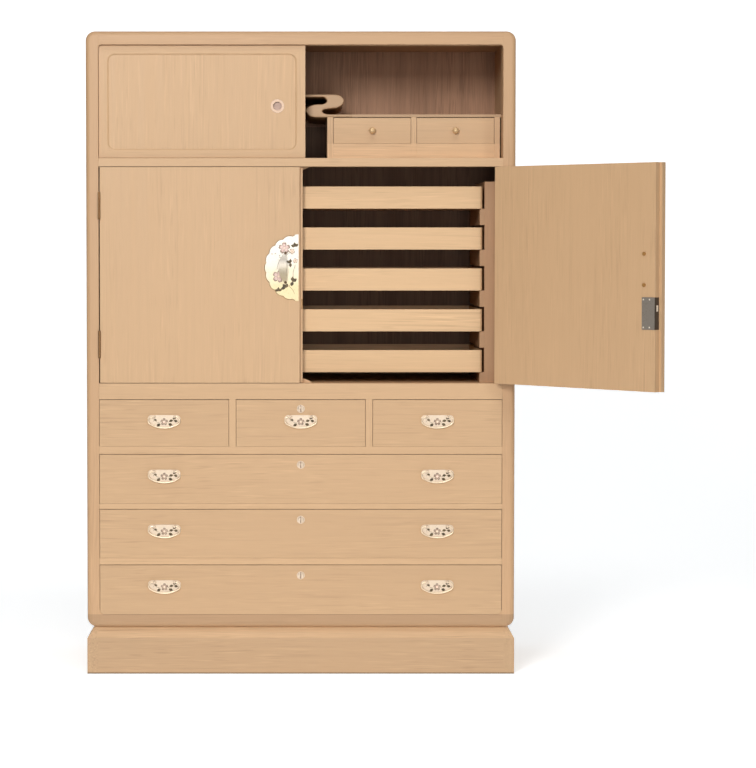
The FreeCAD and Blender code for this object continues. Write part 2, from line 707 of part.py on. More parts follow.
def make_front_frame(form):
    pieces = []
    for side in (-1, 1):
        near, far = (open_half, half) if side > 0 else (-half, -open_half)
        pieces.append(common(block((near, far), (front, frame_back), (s.plinth_tall, s.case_tall)), form))
    top_rail = block((-open_half, open_half), (front, frame_back), (slide_top, s.case_tall))
    high_ears = [ear(side, slide_top, -1, s.ear_round, s.leaf_inset - s.rest_gap) for side in (-1, 1)]
    top_rail = fuse(common(top_rail, form), *high_ears)
    pieces.append(cut(top_rail, groove(front_tongue, slide_top, slide_top + s.high_groove, open_half)))
    bottom_rail = block((-open_half, open_half), (front, frame_back), (s.plinth_tall, bottom_rail_top))
    low_ears = [ear(side, bottom_rail_top, 1, s.foot_round, s.frame_thick) for side in (-1, 1)]
    pieces.append(fuse(common(bottom_rail, form), *low_ears))
    for side in (-1, 1):
        near, far = (open_half, wall_half) if side > 0 else (-wall_half, -open_half)
        pieces.append(block((near, far), (frame_back, frame_back + s.jamb_deep),
                            (upper_rail_top, slide_top)))
    node("front_frame", *pieces)


def door_stop(wide, tall, level, rises):
    """A low hump behind the doors' meeting edge, on a board or hanging under it"""
    bow = bow_radius(wide, tall)
    left = (-wide / 2, level)
    right = (wide / 2, level)
    steps = [left, right, bow] if rises else [left, bow, right]
    return prism("XZ", steps, s.stop_thick, (0, front + s.door_thick + s.rest_gap, 0))


def make_shelves():
    board_half = wall_half + s.dado
    rail_back = front + s.upper_rail_deep
    rail = block((-open_half, open_half), (front, rail_back), (upper_rail_low, upper_rail_top))
    groove_low = upper_rail_top - s.low_groove
    rail = cut(rail, *[groove(tongue, groove_low, upper_rail_top, open_half)
                       for tongue in (front_tongue, rear_tongue)])
    board = block((-board_half, board_half), (rail_back, back_face), SHELF_BOARDS["upper"])
    track = block((-wall_half, wall_half), (frame_back, rail_back), (slide_top, ceiling))
    track = cut(track, groove(rear_tongue, slide_top, slide_top + s.high_groove, wall_half))
    high_stop = door_stop(s.high_stop_wide, s.high_stop_tall, upper_rail_low, False)
    node("upper_shelf", rail, board, track, high_stop)
    waist_rail = block((-open_half, open_half), (front, frame_back), (waist_low, waist_top))
    waist = block((-board_half, board_half), (frame_back, back_face), SHELF_BOARDS["waist"])
    node("waist_shelf", waist_rail, waist, door_stop(s.stop_wide, s.stop_tall, waist_top, True))


# The two partitions leave three small drawers of one width
small_wide = (open_half - s.partition_thick) * 2 / 3
partition_inner = s.derive("partition_inner", small_wide / 2, "partition's face to the middle drawer")
partition_outer = s.derive("partition_outer", partition_inner + s.partition_thick,
                           "partition's face to a side drawer")


def make_drawer_frames():
    board_half = wall_half + s.dado
    pieces = []
    for level, low in (("low", low_rail_low), ("middle", middle_rail_low), ("high", high_rail_low)):
        board_low, board_top = SHELF_BOARDS[level]
        pieces.append(block((-open_half, open_half), (front, frame_back), (low, board_top)))
        pieces.append(block((-board_half, board_half), (frame_back, back_face), (board_low, board_top)))
    for row, (low, high) in ROWS.items():
        guide_low = s.plinth_tall + s.wall if row == "bottom" else low
        for near, far in ((open_half, wall_half), (-wall_half, -open_half)):
            pieces.append(block((near, far), (frame_back, back_face), (guide_low, low + s.guide_tall)))
    for near, far in ((open_half - s.runner_wide, open_half), (-open_half, s.runner_wide - open_half)):
        pieces.append(block((near, far), (frame_back, back_face), (s.plinth_tall + s.wall, bottom_rail_top)))
    under_waist = SHELF_BOARDS["waist"][0]
    for left in (-partition_outer, partition_inner):
        pieces.append(prism("YZ", [
            (front, small_row_low), (back_face, small_row_low), (back_face, under_waist),
            (frame_back, under_waist), (frame_back, waist_low), (front, waist_low),
        ], s.partition_thick, (left, 0, 0)))
    node("drawer_frames", *pieces)


# Staggered shelves, scroll and small box
inner_front = front + s.shelf_inset
ledge_high = s.derive("ledge_high", upper_rail_top + share * s.ledge_share,
                      "top of the lower staggered shelf")
ledge_low = s.derive("ledge_low", ledge_high - s.ledge_thick, "underside of the lower staggered shelf")
shelf_high = s.derive("shelf_high", ledge_high + s.shelf_rise, "top of the upper staggered shelf")
shelf_low = s.derive("shelf_low", shelf_high - s.shelf_thick, "underside of the upper staggered shelf")
box_left = s.derive("box_left", wall_half * s.box_ratio, "left face of the small box")
box_right = s.derive("box_right", wall_half - s.box_clear - s.box_right_thick,
                     "inner face of the small box's right side")
scroll_left = s.derive("scroll_left", box_left - s.scroll_past, "left end of the scroll's lower lobe")
scroll_right = s.derive("scroll_right", scroll_left + s.scroll_wide, "right end of the scroll's upper lobe")
notch_left_low = ledge_high + s.notch_left_rise
notch_right_high = ledge_high + s.notch_right_tall
upper_lobe = (shelf_high - notch_right_high) / 2
lower_lobe = (notch_left_low - ledge_low) / 2
upper_lobe_x = scroll_right - upper_lobe
lower_lobe_x = scroll_left + lower_lobe
stub_left = scroll_left - s.scroll_stub
stub_right = scroll_right + s.scroll_stub


def make_scroll():
    deep = (inner_front, back_face)
    long = back_face - inner_front
    core = block((lower_lobe_x, upper_lobe_x), deep, (ledge_low, shelf_high))
    stubs = (
        block((stub_left, upper_lobe_x), deep, (shelf_low, shelf_high)),
        block((lower_lobe_x, stub_right), deep, (ledge_low, ledge_high)),
    )
    left_notch = (shelf_low - notch_left_low) / 2
    left_notch_x = scroll_left + s.notch_left_deep - left_notch
    right_notch = (notch_right_high - ledge_high) / 2
    right_notch_x = scroll_right - s.notch_right_deep + right_notch
    notches = (
        block((lower_lobe_x, left_notch_x), deep, (notch_left_low, shelf_low)),
        rod("Y", (left_notch_x, inner_front, shelf_low - left_notch), left_notch, long),
        block((right_notch_x, upper_lobe_x), deep, (ledge_high, notch_right_high)),
        rod("Y", (right_notch_x, inner_front, ledge_high + right_notch), right_notch, long),
    )
    lobes = (
        rod("Y", (upper_lobe_x, inner_front, shelf_high - upper_lobe), upper_lobe, long),
        rod("Y", (lower_lobe_x, inner_front, ledge_low + lower_lobe), lower_lobe, long),
    )
    node("scroll_bracket", fuse(cut(core, *notches), *stubs, *lobes))


def make_staggered_shelves():
    deep = (inner_front, back_face)
    node("staggered_shelves",
         block((-wall_half, stub_left), deep, (shelf_low, shelf_high)),
         block((stub_right, wall_half), deep, (ledge_low, ledge_high)))


box_rail_top = upper_rail_top + s.box_rail_tall
bay_left = box_left + s.box_left_thick
bay_wide = (box_right - bay_left - s.box_middle_thick) / 2
BOX_BAYS = ((bay_left, bay_left + bay_wide), (box_right - bay_wide, box_right))


def make_inner_box():
    deep = (inner_front, back_face)
    upright = (upper_rail_top, ledge_low)
    pieces = [
        block((box_left, bay_left), deep, upright),
        block((BOX_BAYS[0][1], BOX_BAYS[1][0]), deep, upright),
        block((box_right, box_right + s.box_right_thick), deep, upright),
    ]
    rail_back = inner_front + s.drawer_front
    for bay in BOX_BAYS:
        pieces.append(block(bay, (inner_front, rail_back), (upper_rail_top, box_rail_top)))
        pieces.append(block(bay, (rail_back, back_face), (box_rail_top - s.board_thick, box_rail_top)))
    node("inner_box", *pieces)


# Drawers

def drawer_box(x, y, z, thick, side, foot=None):
    """Front with rebated ends, two sides, back and bottom, in a space from y back and from z up"""
    left, right = x
    start, end = y
    low, high = z
    seat = start + thick / 2
    shoulder = start + thick
    plan = [(left, start), (right, start), (right, seat), (right - side, seat), (right - side, shoulder),
            (left + side, shoulder), (left + side, seat), (left, seat)]
    face = prism("XY", plan, high - low, (0, 0, low))
    side_top = high - s.drawer_drop
    pieces = [
        block((left, left + side), (seat, end), (low, side_top)),
        block((right - side, right), (seat, end), (low, side_top)),
    ]
    if foot is not None:
        form = prism("XZ", [(left, low, foot), (right, low, foot), (right, high), (left, high)],
                     end - start, (0, start, 0))
        face, *pieces = [common(piece, form) for piece in (face, *pieces)]
    pieces += [
        block((left + side, right - side), (end - side, end), (low, side_top)),
        block((left + side, right - side), (shoulder, end - side), (low, low + s.drawer_bottom)),
    ]
    return face, pieces


LOCKED = {"small_middle": "small", "wide_top": "top", "wide_middle": "middle", "wide_bottom": "bottom"}
handle_at = s.derive("handle_at", (partition_outer + open_half) / 2, "outer drop handles from the centre")
DRAWERS = {
    "small_left": ("small", (-open_half, -partition_outer), (-handle_at,)),
    "small_middle": ("small", (-partition_inner, partition_inner), (0,)),
    "small_right": ("small", (partition_outer, open_half), (handle_at,)),
    "wide_top": ("top", (-open_half, open_half), (-handle_at, handle_at)),
    "wide_middle": ("middle", (-open_half, open_half), (-handle_at, handle_at)),
    "wide_bottom": ("bottom", (-open_half, open_half), (-handle_at, handle_at)),
}


def handle_plate(x, top):
    """Boat-shaped plate with two eyes for the bail's pins"""
    flat = s.handle_plate_flat / 2
    wide = s.handle_plate_wide / 2
    bulge = s.handle_plate_bulge
    end = s.handle_plate_end
    bottom = bow_radius(s.handle_plate_wide, s.handle_plate_tall - bulge)
    plate = prism("XZ", [(flat, 0), (-flat, 0), end, (-wide, -bulge), bottom, (wide, -bulge), end],
                  s.plate_thick, (x, front - s.plate_thick, top))
    bore_half = 2 * s.eye_radius
    eyes = []
    for side in (-1, 1):
        centre = (x + side * s.eye_at, front - s.eye_out, top - s.eye_low)
        stem = rod("Y", centre, s.eye_stem, s.eye_out - s.plate_thick)
        bore_start = (centre[0] - bore_half, centre[1], centre[2])
        bore = rod("X", bore_start, s.bail_radius + s.pin_play, 2 * bore_half)
        eyes.append(cut(fuse(stem, ball(centre, s.eye_radius)), bore))
    return [plate] + eyes


def make_bail(name, x, top):
    """A round wire: a pin at each end, tight corners and a long bottom curve"""
    wide = s.bail_half - s.bail_corner
    deep = s.bail_drop - s.bail_corner
    corner = s.bail_corner
    bow = (wide * wide + deep * deep - corner * corner) / (2 * (deep - corner))
    reach = bow / (bow - corner)
    meet_x = wide * reach
    meet_z = bow - s.bail_drop - (bow - deep) * reach
    pin_end = s.eye_at - s.bail_pin_end
    body = new_body(name)
    path = new_sketch(body, "XZ")
    left_pin = path.addGeometry(Part.LineSegment(point(-pin_end, 0), point(-wide, 0)))
    left = path.addGeometry(arc_between(point(-wide, 0), point(-meet_x, meet_z), point(-wide, -corner)))
    centre = point(0, bow - s.bail_drop)
    long = path.addGeometry(arc_between(point(-meet_x, meet_z), point(meet_x, meet_z), centre))
    right = path.addGeometry(arc_between(point(meet_x, meet_z), point(wide, 0), point(wide, -corner)))
    right_pin = path.addGeometry(Part.LineSegment(point(wide, 0), point(pin_end, 0)))
    path.addConstraint([
        Sketcher.Constraint("Tangent", left_pin, 2, left, 1),
        Sketcher.Constraint("Tangent", left, 2, long, 1),
        Sketcher.Constraint("Tangent", long, 2, right, 1),
        Sketcher.Constraint("Tangent", right, 2, right_pin, 1),
    ])
    pin_down(path, (left_pin, 1), (-pin_end, 0))
    pin_down(path, (left, 3), (-wide, -corner))
    pin_down(path, (right_pin, 2), (pin_end, 0))
    pin_down(path, (right, 3), (wide, -corner))
    measure(path, "Radius", corner, left)
    measure(path, "Radius", corner, right)
    measure(path, "DistanceY", bow - s.bail_drop, -1, 1, long, 3)
    section = new_sketch(body, "YZ")
    bind(section, "AttachmentOffset.Base.z", -pin_end)
    circle(section, (0, 0), s.bail_radius)
    doc.recompute()
    pipe = body.newObject("PartDesign::AdditivePipe", name + "_wire")
    pipe.Profile = section
    pipe.Spine = path
    pipe.Transition = "Transformed"
    node("bail_" + name, place(body, (x, front - s.eye_out, top - s.eye_low)))


def lock_housing(z):
    """Ring on the drawer's front and a barrel through it"""
    inner = s.plug_radius + s.pin_play
    behind = s.drawer_front + s.cam_behind - s.rest_gap
    return turned([
        (inner, -s.sheet_metal), (s.lock_ring, -s.sheet_metal), (s.lock_ring, 0), (s.lock_barrel, 0),
        (s.lock_barrel, behind), (inner, behind),
    ], (0, front, z))


def lock_hole(z):
    return rod("Y", (0, front, z), s.lock_barrel, s.drawer_front)


def make_lock_plug(name, z):
    """Domed head with a key slot, stem, and a cam behind the drawer's front"""
    head_back = -s.sheet_metal - s.rest_gap
    head_front = head_back - s.dome_edge
    tip = head_front - s.dome_tall
    bow = bow_radius(2 * s.dome_radius, s.dome_tall)
    behind = s.drawer_front + s.cam_behind
    body = turned([
        (0, tip), bow, (s.dome_radius, head_front), (s.dome_radius, head_back), (s.plug_radius, head_back),
        (s.plug_radius, behind + s.cam_thick), (0, behind + s.cam_thick),
    ], (0, front, z))
    edge = s.cam_wide / 2
    cam = prism("XZ", [
        (-edge, -edge, s.cam_round), (s.cam_reach, -edge, s.cam_round),
        (s.cam_reach, edge, s.cam_round), (-edge, edge, s.cam_round),
    ], s.cam_thick, (0, front + behind, z))
    slot = block((-s.slot_wide / 2, s.slot_wide / 2), (front + tip, front + tip + s.slot_deep),
                 (z - s.slot_tall / 2, z + s.slot_tall / 2))
    node("lock_plug_" + name, cut(fuse(body, cam), slot))


def make_drawers():
    for name, (row, (left, right), handles) in DRAWERS.items():
        low, high = ROWS[row]
        x = (left + s.side_gap, right - s.side_gap)
        z = (low + s.rest_gap, high - s.top_gap)
        foot = s.foot_round if row == "bottom" else None
        face, rest = drawer_box(x, (front, back_face - s.drawer_behind), z, s.drawer_front, s.drawer_side,
                                foot)
        fittings = []
        top = high - s.handle_low + s.handle_plate_tall / 2
        for number, handle in enumerate(handles):
            fittings += handle_plate(handle, top)
            bail = name if len(handles) == 1 else name + ("_left", "_right")[number]
            make_bail(bail, handle, top)
        if name in LOCKED:
            lock_z = high - (s.small_lock_low if row == "small" else s.wide_lock_low)
            face = cut(face, lock_hole(lock_z))
            fittings.append(lock_housing(lock_z))
            make_lock_plug(LOCKED[name], lock_z)
        node("drawer_" + name, face, *rest)
        node("fittings_" + name, *fittings)


def make_inner_drawers():
    for name, (left, right) in zip(("left", "right"), BOX_BAYS):
        x = (left + s.side_gap, right - s.side_gap)
        z = (box_rail_top + s.rest_gap, ledge_low - s.inner_drawer_top)
        y = (inner_front, back_face - s.inner_drawer_behind)
        face, rest = drawer_box(x, y, z, s.inner_front, s.inner_side)
        node("inner_drawer_" + name, face, *rest)
        middle = ((left + right) / 2, inner_front, (z[0] + z[1]) / 2)
        foot = -s.knob_foot_tall
        node("inner_knob_" + name, turned([
            (0, 0), (s.knob_foot, 0), (s.knob_foot, foot), (s.knob_neck, foot - s.knob_foot_slope),
            (s.knob_neck, s.knob_bell - s.knob_out), (s.knob_radius, s.knob_dome - s.knob_out),
            bow_radius(2 * s.knob_radius, s.knob_dome), (0, -s.knob_out),
        ], middle))


# Trays and their racks
tray_front_y = front + s.tray_inset
tray_back_y = back_face - s.tray_behind
tray_half = s.derive("tray_half", wall_half - s.post_wide - s.post_clear, "half the width of a tray")
tray_pitch = s.derive("tray_pitch", (share * s.door_share - s.tray_first - s.tray_tall - s.tray_over)
                      / (TRAY_COUNT - 1), "height from tray to tray")
TRAYS = [waist_top + s.tray_first + tray_pitch * i for i in range(TRAY_COUNT)]


def make_trays():
    for number, low in enumerate(reversed(TRAYS), start=1):
        top = low + s.tray_tall
        side = s.tray_side
        shoulder = tray_front_y + s.tray_front
        inner = tray_half - side
        plan = [(-tray_half, tray_front_y, s.tray_round), (tray_half, tray_front_y, s.tray_round),
                (tray_half, shoulder), (-tray_half, shoulder)]
        over = low + s.tray_bottom
        node(f"tray_{number}",
             prism("XY", plan, s.tray_tall, (0, 0, low)),
             block((-tray_half, -inner), (shoulder, tray_back_y), (over, top)),
             block((inner, tray_half), (shoulder, tray_back_y), (over, top)),
             block((-inner, inner), (tray_back_y - side, tray_back_y), (over, top)),
             block((-tray_half, tray_half), (shoulder, tray_back_y), (low, over)))


def make_tray_racks():
    face = tray_half + s.post_clear
    post_top = TRAYS[-1] + s.tray_tall + s.post_over
    rack_back = tray_back_y + s.post_thick
    pieces = []
    for side in (-1, 1):
        def across(near, far):
            return (near, far) if side > 0 else (-far, -near)
        upright = (waist_top, post_top)
        pieces.append(block(across(face, wall_half), (tray_front_y, tray_front_y + s.post_thick), upright))
        pieces.append(block(across(face, wall_half), (tray_back_y, rack_back), upright))
        pieces.append(block(across(face, face + s.rack_board),
                            (tray_front_y + s.post_thick, tray_back_y), upright))
        for low in TRAYS:
            tip = face - s.bearer_reach
            top = low - s.rest_gap
            foot = waist_top if low is TRAYS[0] else top - s.bearer_tall
            nose = prism("XZ", [
                (side * face, foot), (side * tip, foot), (side * tip, top, s.bearer_round),
                (side * face, top),
            ], s.bearer_nose, (0, tray_front_y, 0))
            bearer = block(across(tip, face), (tray_front_y + s.bearer_nose, tray_back_y), (foot, top))
            pieces.append(fuse(nose, bearer))
    node("tray_racks", *pieces)


# Sliding doors
leaf_low = upper_rail_top + s.leaf_under
leaf_high = slide_top - s.leaf_over
leaf_left = s.derive("leaf_left", s.leaf_edge - open_half, "left end of a sliding door")
leaf_wide = s.derive("leaf_wide", s.leaf_past - leaf_left, "width of a sliding door")


def tapered(steps, length, angle, at):
    """An outline drawn on XZ and padded along +Y, drawing in as it goes"""
    body = new_body("slope")
    sketch = new_sketch(body, "XZ")
    outline(sketch, steps)
    feature = pad(body, sketch, length)
    feature.Reversed = True
    bind(feature, "TaperAngle", -angle)
    return place(body, at)


def rounded(left, right, low, high, radius):
    return [(left, low, radius), (right, low, radius), (right, high, radius), (left, high, radius)]


def make_sliding_door(name, inset, pull_from_left):
    """A mitred frame with a tongue along its top and bottom, and a panel let in from behind with a
    cup for the round pull"""
    face = front + inset
    behind = face + s.leaf_thick
    tongue = face + (s.leaf_thick - s.tongue_thick) / 2
    foot = upper_rail_top - s.low_groove + s.rest_gap
    head = slide_top + s.high_tongue
    board = prism("YZ", [
        (face, leaf_low), (tongue, leaf_low), (tongue, foot), (tongue + s.tongue_thick, foot),
        (tongue + s.tongue_thick, leaf_low), (behind, leaf_low), (behind, leaf_high),
        (tongue + s.tongue_thick, leaf_high), (tongue + s.tongue_thick, head), (tongue, head),
        (tongue, leaf_high), (face, leaf_high),
    ], leaf_wide, (leaf_left, 0, 0))
    left = leaf_left + s.leaf_frame
    right = leaf_left + leaf_wide - s.leaf_frame
    low = leaf_low + s.leaf_band
    high = leaf_high - s.leaf_band
    field = prism("XZ", rounded(left, right, low, high, s.field_round), s.leaf_field, (0, face, 0))
    edge = s.field_slope
    slope = tapered(rounded(left - edge, right + edge, low - edge, high + edge, s.field_round + edge),
                    s.leaf_field, s.slope_angle, (0, face, 0))
    rebate = s.leaf_rebate
    panel = block((left - rebate, right + rebate), (face + s.leaf_field, behind),
                  (low - rebate, high + rebate))
    ring = cut(board, field, slope, panel)
    leaf_right = leaf_left + leaf_wide
    mitre_left = left + s.leaf_frame
    mitre_right = right - s.leaf_frame
    mitre_low = low + s.leaf_band
    mitre_high = high - s.leaf_band
    outlines = [
        [(leaf_left, leaf_low), (mitre_left, mitre_low), (mitre_left, mitre_high), (leaf_left, leaf_high)],
        [(leaf_right, leaf_low), (mitre_right, mitre_low), (mitre_right, mitre_high),
         (leaf_right, leaf_high)],
        [(leaf_left, leaf_low), (mitre_left, mitre_low), (mitre_right, mitre_low), (leaf_right, leaf_low),
         (leaf_right, foot), (leaf_left, foot)],
        [(leaf_left, leaf_high), (mitre_left, mitre_high), (mitre_right, mitre_high),
         (leaf_right, leaf_high), (leaf_right, head), (leaf_left, head)],
    ]
    members = [common(ring, prism("XZ", corners, s.leaf_thick, (0, face, 0))) for corners in outlines]
    pull_x = leaf_left + (s.leaf_pull_at if pull_from_left else leaf_wide - s.leaf_pull_at)
    pull = (pull_x, face + s.leaf_field, leaf_low + share * s.leaf_pull_share)
    hole = rod("Y", pull, s.leaf_pull_cup, s.leaf_pull_deep)
    node("sliding_door_" + name, *members, cut(panel, hole))
    cup = s.leaf_pull_cup
    metal = s.sheet_metal
    node("sliding_pull_" + name, turned([
        (0, s.leaf_pull_deep), (cup, s.leaf_pull_deep), (cup, 0), (s.leaf_pull_rim, 0),
        (s.leaf_pull_rim, -metal), (cup - metal, -metal), (cup - metal, s.leaf_pull_deep - metal),
        (0, s.leaf_pull_deep - metal),
    ], pull))


# Hinged doors
pivot_x = s.derive("pivot_x", open_half - s.door_edge / 2, "hinge pins from the centre")
pivot_y = s.derive("pivot_y", front - s.knuckle_clear - s.knuckle_radius, "hinge pins, front to back")
door_half = open_half - s.door_edge
door_low = waist_top + s.door_gap
door_high = upper_rail_low - s.door_gap
lip_y = front + s.lip_front
door_back = front + s.door_thick
HINGES = (door_low + s.hinge_from_end, door_high - s.hinge_from_end - s.hinge_tall)
plate_high = s.derive("plate_high", waist_top + share * s.plate_share, "centre of the scalloped plates")
lock_high = s.derive("lock_high", plate_high - s.lock_drop, "centre of the door lock's plate")
bolt_high = s.derive("bolt_high", lock_high + s.bolt_rise, "centre of the door lock's bolt")


def stand_open(group):
    """Turns a piece of the right door about its hinges to where it stands open"""
    group.setExpression("Placement", (
        "create(<<placement>>; create(<<vector>>; 0; 0; 0); "
        f"create(<<rotation>>; create(<<vector>>; 0; 0; 1); {s.right_door_angle.text}); "
        f"create(<<vector>>; {pivot_x.text}; {pivot_y.text}; 0))"))


def hinge_leaf(side, low, on_case):
    """A leaf with every second knuckle: the outer ones are on the case"""
    near = open_half - s.hinge_thick if on_case else door_half
    far = near + s.hinge_thick
    across = (near, far) if side > 0 else (-far, -near)
    step = s.hinge_tall / KNUCKLES
    pieces = [block(across, (front, front + s.hinge_deep), (low, low + s.hinge_tall))]
    x = side * pivot_x
    for number in range(0 if on_case else 1, KNUCKLES, 2):
        start = low + step * number + s.knuckle_apart / 2
        tall = step - s.knuckle_apart
        pieces.append(block(across, (pivot_y, front), (start, start + tall)))
        pieces.append(rod("Z", (x, pivot_y, start), s.knuckle_radius, tall))
    bore = rod("Z", (x, pivot_y, low), s.pin_radius + s.pin_play, s.hinge_tall)
    return cut(fuse(*pieces), bore)


def make_case_hinges():
    pieces = []
    for side in (-1, 1):
        for low in HINGES:
            pieces.append(hinge_leaf(side, low, True))
            pieces.append(rod("Z", (side * pivot_x, pivot_y, low), s.pin_radius, s.hinge_tall))
    node("case_hinges", *pieces)


def half_plate(side):
    """Half of a scalloped disc, cut straight along the doors' meeting edge"""
    angle = 180 / s.scallops
    chord = 2 * s.plate_notch * sine(angle)
    lobe = bow_radius(chord, s.plate_lobe - s.plate_notch * cosine(angle))
    body = new_body("scalloped_plate")
    disc = new_sketch(body, "XZ")
    circle(disc, (0, 0), s.plate_notch - s.plate_thick)
    pad(body, disc, s.plate_thick)
    bump = new_sketch(body, "XZ")
    circle(bump, (s.plate_lobe - lobe, 0), lobe)
    scallop = pad(body, bump, s.plate_thick, "scallop")
    doc.recompute()
    pattern = body.newObject("PartDesign::PolarPattern", body.Name + "_pattern")
    pattern.Originals = [scallop]
    pattern.Axis = (disc, ["N_Axis"])
    pattern.Angle = 360
    bind(pattern, "Occurrences", s.scallops)
    body.Tip = pattern
    place(body, (side * s.plate_at, front, plate_high))
    reach = s.plate_lobe + s.plate_at
    beyond = (-s.plate_cut, reach) if side < 0 else (-reach, s.plate_cut)
    return cut(body, block(beyond, (front - 2 * s.plate_thick, front),
                           (plate_high - reach, plate_high + reach)))


def door_bolts(side):
    return [(side * s.pull_at, plate_high + shift) for shift in (s.pull_bolts / 2, -s.pull_bolts / 2)]


def door_pull(side):
    """An arched strap, straight towards the meeting edge and bowed on the other side"""
    tip = s.pull_bolts / 2 + s.pull_end
    surface = front - s.plate_thick
    x = side * s.pull_at
    outer = bow_radius(2 * tip, s.pull_rise)
    inner_tip = tip - s.pull_foot
    inner = bow_radius(2 * inner_tip, s.pull_rise - s.pull_thick)
    arch = prism("YZ", [
        (surface, -tip), (surface, -inner_tip), -inner, (surface, inner_tip), (surface, tip), outer,
    ], 2 * s.pull_wide, (x - s.pull_wide, 0, plate_high))
    edge = -side * s.pull_edge
    bow = bow_radius(2 * tip, s.pull_wide)
    face = prism("XZ", [(edge, side * tip), (edge, -side * tip), bow], s.pull_rise + s.plate_thick,
                 (x, surface - s.pull_rise, plate_high))
    return common(arch, face)


def door_fittings(side):
    head = front - s.plate_thick - s.head_high
    length = s.head_high + s.plate_thick + s.door_thick + s.nut_thick
    bolts = []
    shanks = []
    seats = []
    for x, z in door_bolts(side):
        shank = rod("Y", (x, head, z), s.bolt_radius, length)
        cap = rod("Y", (x, head - s.head_thick, z), s.head_radius, s.head_thick)
        nut = rod("Y", (x, door_back, z), s.nut_radius, s.nut_thick)
        bolts.append(fuse(shank, cap, nut))
        shanks.append(rod("Y", (x, head, z), s.bolt_radius, length))
        seats.append(rod("Y", (x, head - s.pull_rise, z), s.head_radius, s.pull_rise))
    plate = cut(half_plate(side), *shanks)
    pull = cut(door_pull(side), *shanks, *seats)
    return [plate, pull] + bolts


def bolt_holes(side):
    return [rod("Y", (x, front, z), s.bolt_radius, s.door_thick) for x, z in door_bolts(side)]


def strike_space():
    """Space of the strike plate, let into the left door's lip"""
    low = bolt_high - s.strike_tall / 2
    leg = block((s.left_lip - s.strike_leg, s.left_lip),
                (lip_y + s.lip_gap, lip_y + s.lip_gap + s.sheet_metal), (low, low + s.strike_tall))
    end = block((s.left_lip - s.sheet_metal, s.left_lip), (lip_y + s.lip_gap, door_back),
                (low, low + s.strike_tall))
    return fuse(leg, end)


bolt_y = (lip_y + door_back) / 2
BOLT_ACROSS = (bolt_y - s.bolt_thick / 2, bolt_y + s.bolt_thick / 2)
BOLT_UP = (bolt_high - s.bolt_tall / 2, bolt_high + s.bolt_tall / 2)


def bolt_space(x):
    """The lock bolt's way between two planes, with play round it"""
    return block(x, (BOLT_ACROSS[0] - s.rest_gap, BOLT_ACROSS[1] + s.rest_gap),
                 (BOLT_UP[0] - s.rest_gap, BOLT_UP[1] + s.rest_gap))


def make_left_door():
    board = prism("XY", [
        (-door_half, front), (-s.left_meet, front), (-s.left_meet, lip_y + s.lip_gap),
        (s.left_lip, lip_y + s.lip_gap), (s.left_lip, door_back), (-door_half, door_back),
    ], door_high - door_low, (0, 0, door_low))
    mortise = bolt_space((-s.left_meet, s.left_lip))
    node("left_door_panel", cut(board, strike_space(), mortise, *bolt_holes(-1)))
    node("left_door_fittings", *door_fittings(-1))
    leaves = [hinge_leaf(-1, low, False) for low in HINGES]
    strike = cut(strike_space(), bolt_space((-s.left_meet, s.left_lip)))
    node("left_door_hinges", *leaves, strike)


lock_low = lock_high - s.lock_tall / 2
lock_top = lock_high + s.lock_tall / 2
edge_x = s.right_bend + s.sheet_metal


def lock_edge_space():
    return block((s.right_bend, edge_x), (bolt_y - s.lock_edge_wide / 2, door_back), (lock_low, lock_top))


def lock_case_space():
    return block((edge_x, s.right_bend + s.lock_wide), (door_back - s.lock_case_thick, door_back),
                 (lock_low, lock_top))


def make_right_door():
    board = prism("XY", [
        (door_half, front), (-s.right_meet, front), (-s.right_meet, lip_y), (s.right_bend, lip_y),
        (s.right_bend, door_back), (door_half, door_back),
    ], door_high - door_low, (0, 0, door_low))
    panel = cut(board, lock_edge_space(), lock_case_space(), *bolt_holes(1))
    stand_open(node("right_door_panel", panel))
    stand_open(node("right_door_fittings", *door_fittings(1)))
    stand_open(node("right_door_hinges", *[hinge_leaf(1, low, False) for low in HINGES]))
    bolt_start = s.right_bend - s.bolt_proud
    way = bolt_space((bolt_start, bolt_start + s.bolt_long + s.rest_gap))
    plate = block((s.right_bend, s.right_bend + s.lock_wide), (door_back, door_back + s.sheet_metal),
                  (lock_low, lock_top))
    case = fuse(lock_case_space(), lock_edge_space(), plate)
    stand_open(node("door_lock", cut(case, way)))
    stand_open(node("lock_bolt", block((bolt_start, bolt_start + s.bolt_long), BOLT_ACROSS, BOLT_UP)))


def build():
    form = case_form()
    make_plinth()
    make_panels(form)
    make_front_frame(form)
    make_shelves()
    make_drawer_frames()
    make_scroll()
    make_staggered_shelves()
    make_inner_box()
    make_drawers()
    make_inner_drawers()
    make_trays()
    make_tray_racks()
    make_sliding_door("front", s.leaf_inset, False)
    make_sliding_door("rear", s.leaf_inset + s.leaf_thick + s.leaf_apart, True)
    make_case_hinges()
    make_left_door()
    make_right_door()
    doc.recompute()


def check():
    for item in doc.Objects:
        if "Invalid" in item.State or "Error" in item.State:
            raise RuntimeError(f"{item.Name} did not build: {item.State}")
    for item in nodes:
        if item.Shape.isNull() or not item.Shape.isValid():
            raise RuntimeError(f"{item.Label} has no valid shape")


def write():
    os.makedirs("parts", exist_ok=True)
    for item in nodes:
        item.Shape.exportStep(f"parts/{item.Label}.step")
        print(item.Label, len(item.Shape.Solids), "solids")


build()
check()
write()
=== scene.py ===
import math
import random

import bmesh
import bpy
from mathutils import Matrix, Vector


